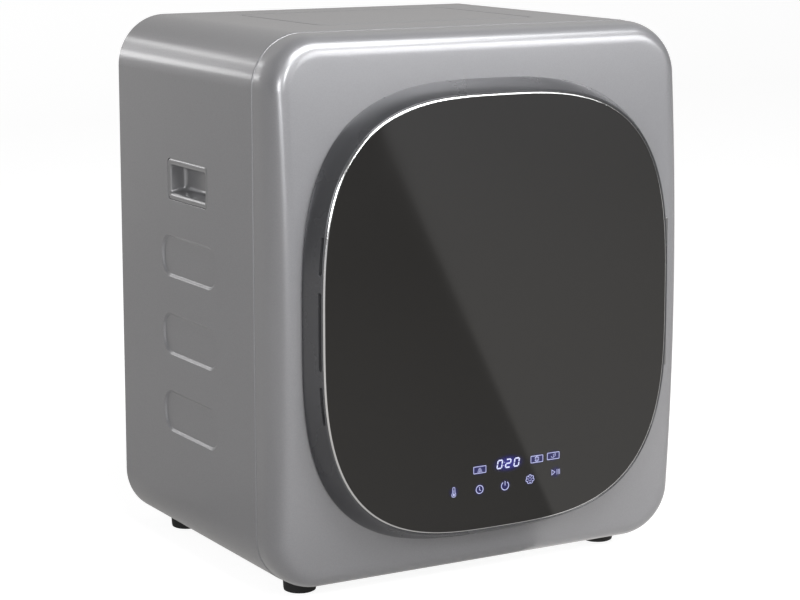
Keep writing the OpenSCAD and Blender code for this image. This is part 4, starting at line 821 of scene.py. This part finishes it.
def makeSymbols():
    marks, figures, halos, wells = Strokes(), Strokes(), Strokes(), Strokes()
    drawFigures(figures)
    halos.glow(symbols["figures"][1][0], symbols["figuresZ"], *symbols["figureGlow"])
    for name, draw, halo in (("thermometer", drawThermometer, 8.5), ("clock", drawClock, 9.5),
                             ("power", drawPower, 9.5), ("blossom", drawBlossom, 9.0),
                             ("playPause", drawPlayPause, 9.5)):
        draw(marks, *symbols[name])
        halos.glow(*symbols[name], halo, halo, symbols["markGlow"])
    halfX, halfZ = symbols["box"]
    for name, draw in (("steamBox", drawSteam), ("fanBox", drawFan), ("careBox", drawCare)):
        x, z = symbols[name]
        marks.ribbon(roundedLoop(halfX, halfZ, 0.5, x, z, 2), 0.85, True)
        wells.filled(roundedLoop(halfX - 0.4, halfZ - 0.4, 0.4, x, z, 2))
        draw(marks, x, z)
        halos.glow(x, z, *symbols["boxGlow"])
    lift = symbols["lift"]
    halos.build("symbolHalos", haloLight, lift * symbols["haloLayer"])
    wells.build("symbolWells", wellLight, lift * symbols["wellLayer"])
    marks.build("touchSymbols", symbolLight, lift)
    figures.build("timerFigures", figureLight, lift)


# a lit print: its colour wanders a little, and a soft patch fades by its own attribute
def makeLight(name, colourLow, colourHigh, strength, alpha=None):
    material = bpy.data.materials.new(name)
    material.use_nodes = True
    tree = material.node_tree
    shader = tree.nodes["Principled BSDF"]
    shader.inputs["Base Color"].default_value = (0.004, 0.004, 0.006, 1)
    shader.inputs["Roughness"].default_value = 0.3
    shader.inputs["Emission Strength"].default_value = strength
    noise = addNode(tree, "TexNoise", vector=addNode(tree, "TexCoord").outputs["Object"], scale=260.0, detail=2.0)
    ramp = addNode(tree, "ValToRGB", fac=noise.outputs["Fac"])
    for stop, position, colour in zip(ramp.color_ramp.elements, (0.3, 0.7), (colourLow, colourHigh)):
        stop.position, stop.color = position, colour
    tree.links.new(ramp.outputs["Color"], shader.inputs["Emission Color"])
    if alpha is not None:
        fade = addNode(tree, "Attribute", attribute_name="fade")
        tree.links.new(mathNode(tree, "MULTIPLY", fade.outputs["Fac"], alpha), shader.inputs["Alpha"])
    return material


symbolLight = makeLight("symbolLight", (0.47, 0.48, 0.82, 1), (0.62, 0.65, 1.0, 1), 0.98)
figureLight = makeLight("figureLight", (0.60, 0.63, 1.0, 1), (0.78, 0.81, 1.0, 1), 1.1)
wellLight = makeLight("wellLight", (0.010, 0.010, 0.080, 1), (0.016, 0.016, 0.115, 1), 1.0)
haloLight = makeLight("haloLight", (0.030, 0.026, 0.25, 1), (0.040, 0.036, 0.32, 1), 1.0, 0.9)
makeRing()
makeBezel()
makeGlass()
makeSymbols()
print("door: made")


# Studio: pale floor, soft lamps and the camera

# Seen by the camera the floor is plain and pale. Polished faces see a painted glow on the floor, brighter right of
# an edge and dimmer left of it, with a painted shadow near the front foot, and that grows or fades with y (from, to,
# amount) and x or across (from, to).
floor = dict(seenGlow=0.90, seenAlbedo=0.34, bounceAlbedo=0.42, leftGlow=(0.37, 0.62), rightGlow=(1.08, 0.77),
             edge=((0.236, -0.497), (2.31, -4.67)), edgeSoft=0.004, spread=0.9, warmth=0.02, farCool=0.03,
             hueReach=(-5.5, -1.5), paintedNearShadow=(-0.52, -0.30, 0.21), nearSide=(-1.4, -0.8),
             behindDim=(0.8, 1.5, 0.71), backGlow=(-0.25, 0.35, 0.46), nearLift=(-2.4, -0.6, 0.40),
             liftSide=(-0.50, -0.15), farLift=(-3.0, -6.0, 0.30), farAcross=(0.4, 1.2),
             half=14.0, joint=-4.0, bend=5.0, bendRadius=2.0, top=9.0)


def makeFloor():
    shell = Shell()
    start, r = floor["bend"], floor["bendRadius"]
    profile = [(-floor["half"], 0.0), (floor["joint"], 0.0), (start, 0.0)]
    for a in (math.radians(90 * j / 8) for j in range(1, 9)):
        profile.append((start + r * math.sin(a), r - r * math.cos(a)))
    profile.append((start + r, floor["top"]))
    shell.loft([[(x, y, z) for x in (-floor["half"], 0.0, floor["half"])] for y, z in profile], closed=False)
    material = bpy.data.materials.new("studioFloor")
    material.use_nodes = True
    tree = material.node_tree
    tree.nodes.clear()
    place = addNode(tree, "TexCoord").outputs["Object"]
    x, y = addNode(tree, "SeparateXYZ", vector=place).outputs[:2]

    def times(a, b):
        return mathNode(tree, "MULTIPLY", a, b)

    def raised(value, other, reach):  # one, and more where both remaps rise
        low, high, lift = value
        return mathNode(tree, "MULTIPLY_ADD", remap(tree, y, low, high, 0.0, lift), remap(tree, other, *reach), 1.0)

    # distance from the edge, positive on its right
    (x0, y0), (x1, y1) = floor["edge"]
    u = Vector((x1 - x0, y1 - y0)).normalized()
    n = (-u.y, u.x)
    across = mathNode(tree, "MULTIPLY_ADD", x, n[0],
                      mathNode(tree, "MULTIPLY_ADD", y, n[1], -(x0 * n[0] + y0 * n[1])))
    side = remap(tree, across, -floor["edgeSoft"], floor["edgeSoft"])
    left = times(remap(tree, across, 0.0, -floor["spread"], *floor["leftGlow"]),
                 raised(floor["nearLift"], x, floor["liftSide"]))
    right = times(remap(tree, across, 0.0, floor["spread"], *floor["rightGlow"]),
                  raised(floor["farLift"], across, floor["farAcross"]))
    glow = mathNode(tree, "MULTIPLY_ADD", right, side, times(left, mathNode(tree, "SUBTRACT", 1.0, side)))
    # painted shadow: the glow that polished faces see dims near the front foot, standing in for the part's contact
    # shadow
    low, high, dim = floor["paintedNearShadow"]
    paintedFootShadow = times(remap(tree, y, low, high, 0.0, dim), remap(tree, x, *floor["nearSide"]))
    glow = times(glow, mathNode(tree, "SUBTRACT", 1.0, paintedFootShadow))
    low, high, dim = floor["behindDim"]
    glow = times(glow, remap(tree, y, low, high, 1.0, dim))
    low, high, level = floor["backGlow"]
    glow = mathNode(tree, "MAXIMUM", glow, remap(tree, y, low, high, 0.0, level))

    # cooler far away, a little warmer near the part
    warmth = floor["warmth"]
    hue = addNode(tree, "CombineColor", red=1.0, green=remap(tree, y, *floor["hueReach"], 1.0, 1 - warmth),
                  blue=remap(tree, y, *floor["hueReach"], 1 + floor["farCool"], 1 - 2 * warmth))
    shine = addNode(tree, "Emission", color=hue.outputs["Color"], strength=glow)
    white = addNode(tree, "Emission", color=(1, 1, 1, 1), strength=floor["seenGlow"])
    grain = addNode(tree, "TexNoise", vector=place, scale=6.0, detail=2.0).outputs["Fac"]
    seen, plain = (addNode(tree, "BsdfDiffuse", color=remap(tree, grain, 0, 1, level * 0.99, level * 1.01))
                   for level in (floor["seenAlbedo"], floor["bounceAlbedo"]))

    def joined(kind, *values):
        node = addNode(tree, kind)
        for socket, value in zip(node.inputs, values):
            tree.links.new(value, socket)
        return node.outputs[0]

    isGlossy = addNode(tree, "LightPath").outputs["Is Glossy Ray"]
    unseen = joined("MixShader", isGlossy, plain.outputs[0], shine.outputs[0])
    surface = joined("MixShader", isSeen(tree), unseen, joined("AddShader", white.outputs[0], seen.outputs[0]))
    tree.links.new(surface, addNode(tree, "OutputMaterial").inputs["Surface"])
    ground = shell.build("studioFloor", material)


# lamps: place, what they point at, width and height, and radiance
lamps = dict(
    bandRight=((1.60, -2.70, 1.75), (0, -0.25, 0.60), (1.8, 0.70), 7.0),
    bandFront=((-0.70, -3.10, 1.95), (-0.28, -0.2, 0.65), (0.40, 0.80), 20.0),
    highFront=((0.20, -1.50, 2.60), (0, -0.2, 0.40), (2.2, 1.4), 6.6),
    topRight=((1.45, -1.05, 2.60), (0.1, -0.2, 0.68), (0.5, 0.5), 4.0),
    leftSheet=((-2.6, -2.3, 1.35), (-0.28, -0.22, 0.60), (1.3, 1.1), 7.5),
    topBack=((1.60, 0.90, 2.95), (0, -0.2, 0.68), (2.2, 2.2), 0.15),
    backLeft=((-1.29, 2.90, 1.35), (-0.25, 0, 0.66), (0.60, 1.05), 1.1),
    backUpper=((-1.13, 2.90, 1.66), (-0.25, 0, 0.66), (0.60, 0.16), 2.8),
    backLower=((-1.54, 2.90, 1.05), (-0.25, 0, 0.66), (0.60, 0.26), 3.9))
world = dict(fill=0.20, seen=1.0)


def makeLamp(name, spot, target, size, radiance):
    data = bpy.data.lights.new(name, "AREA")
    data.shape = "RECTANGLE"
    data.size, data.size_y = size
    data.energy = radiance * math.pi * size[0] * size[1]
    lamp = linkObject(name, data)
    lamp.location = spot
    lamp.rotation_euler = (Vector(target) - Vector(spot)).to_track_quat("-Z", "Y").to_euler()


def makeWorld():
    sky = bpy.data.worlds.new("studioWorld")
    bpy.context.scene.world = sky
    sky.use_nodes = True
    tree = sky.node_tree
    back = tree.nodes["Background"]
    back.inputs["Color"].default_value = (1, 1, 1, 1)
    tree.links.new(remap(tree, isSeen(tree), 0, 1, world["fill"], world["seen"]), back.inputs["Strength"])


view = dict(spot=(-1.5284, -2.6842, 0.8920), yaw=30.339, down=8.960, lens=107.52, sensor=36,
            shift=(-0.03198, -0.08), farClip=60)


def makeCamera():
    data = bpy.data.cameras.new("photoCamera")
    data.sensor_fit = "HORIZONTAL"
    data.sensor_width = view["sensor"]
    data.lens = view["lens"]
    data.shift_x, data.shift_y = view["shift"]
    data.clip_end = view["farClip"]
    camera = linkObject("photoCamera", data)
    camera.location = view["spot"]
    camera.rotation_euler = (math.radians(90 - view["down"]), 0, -math.radians(view["yaw"]))
    bpy.context.scene.camera = camera


makeFloor()
makeWorld()
for name, values in lamps.items():
    makeLamp(name, *values)
makeCamera()
bpy.context.scene.view_settings.view_transform = "Standard"
print("studio: made")
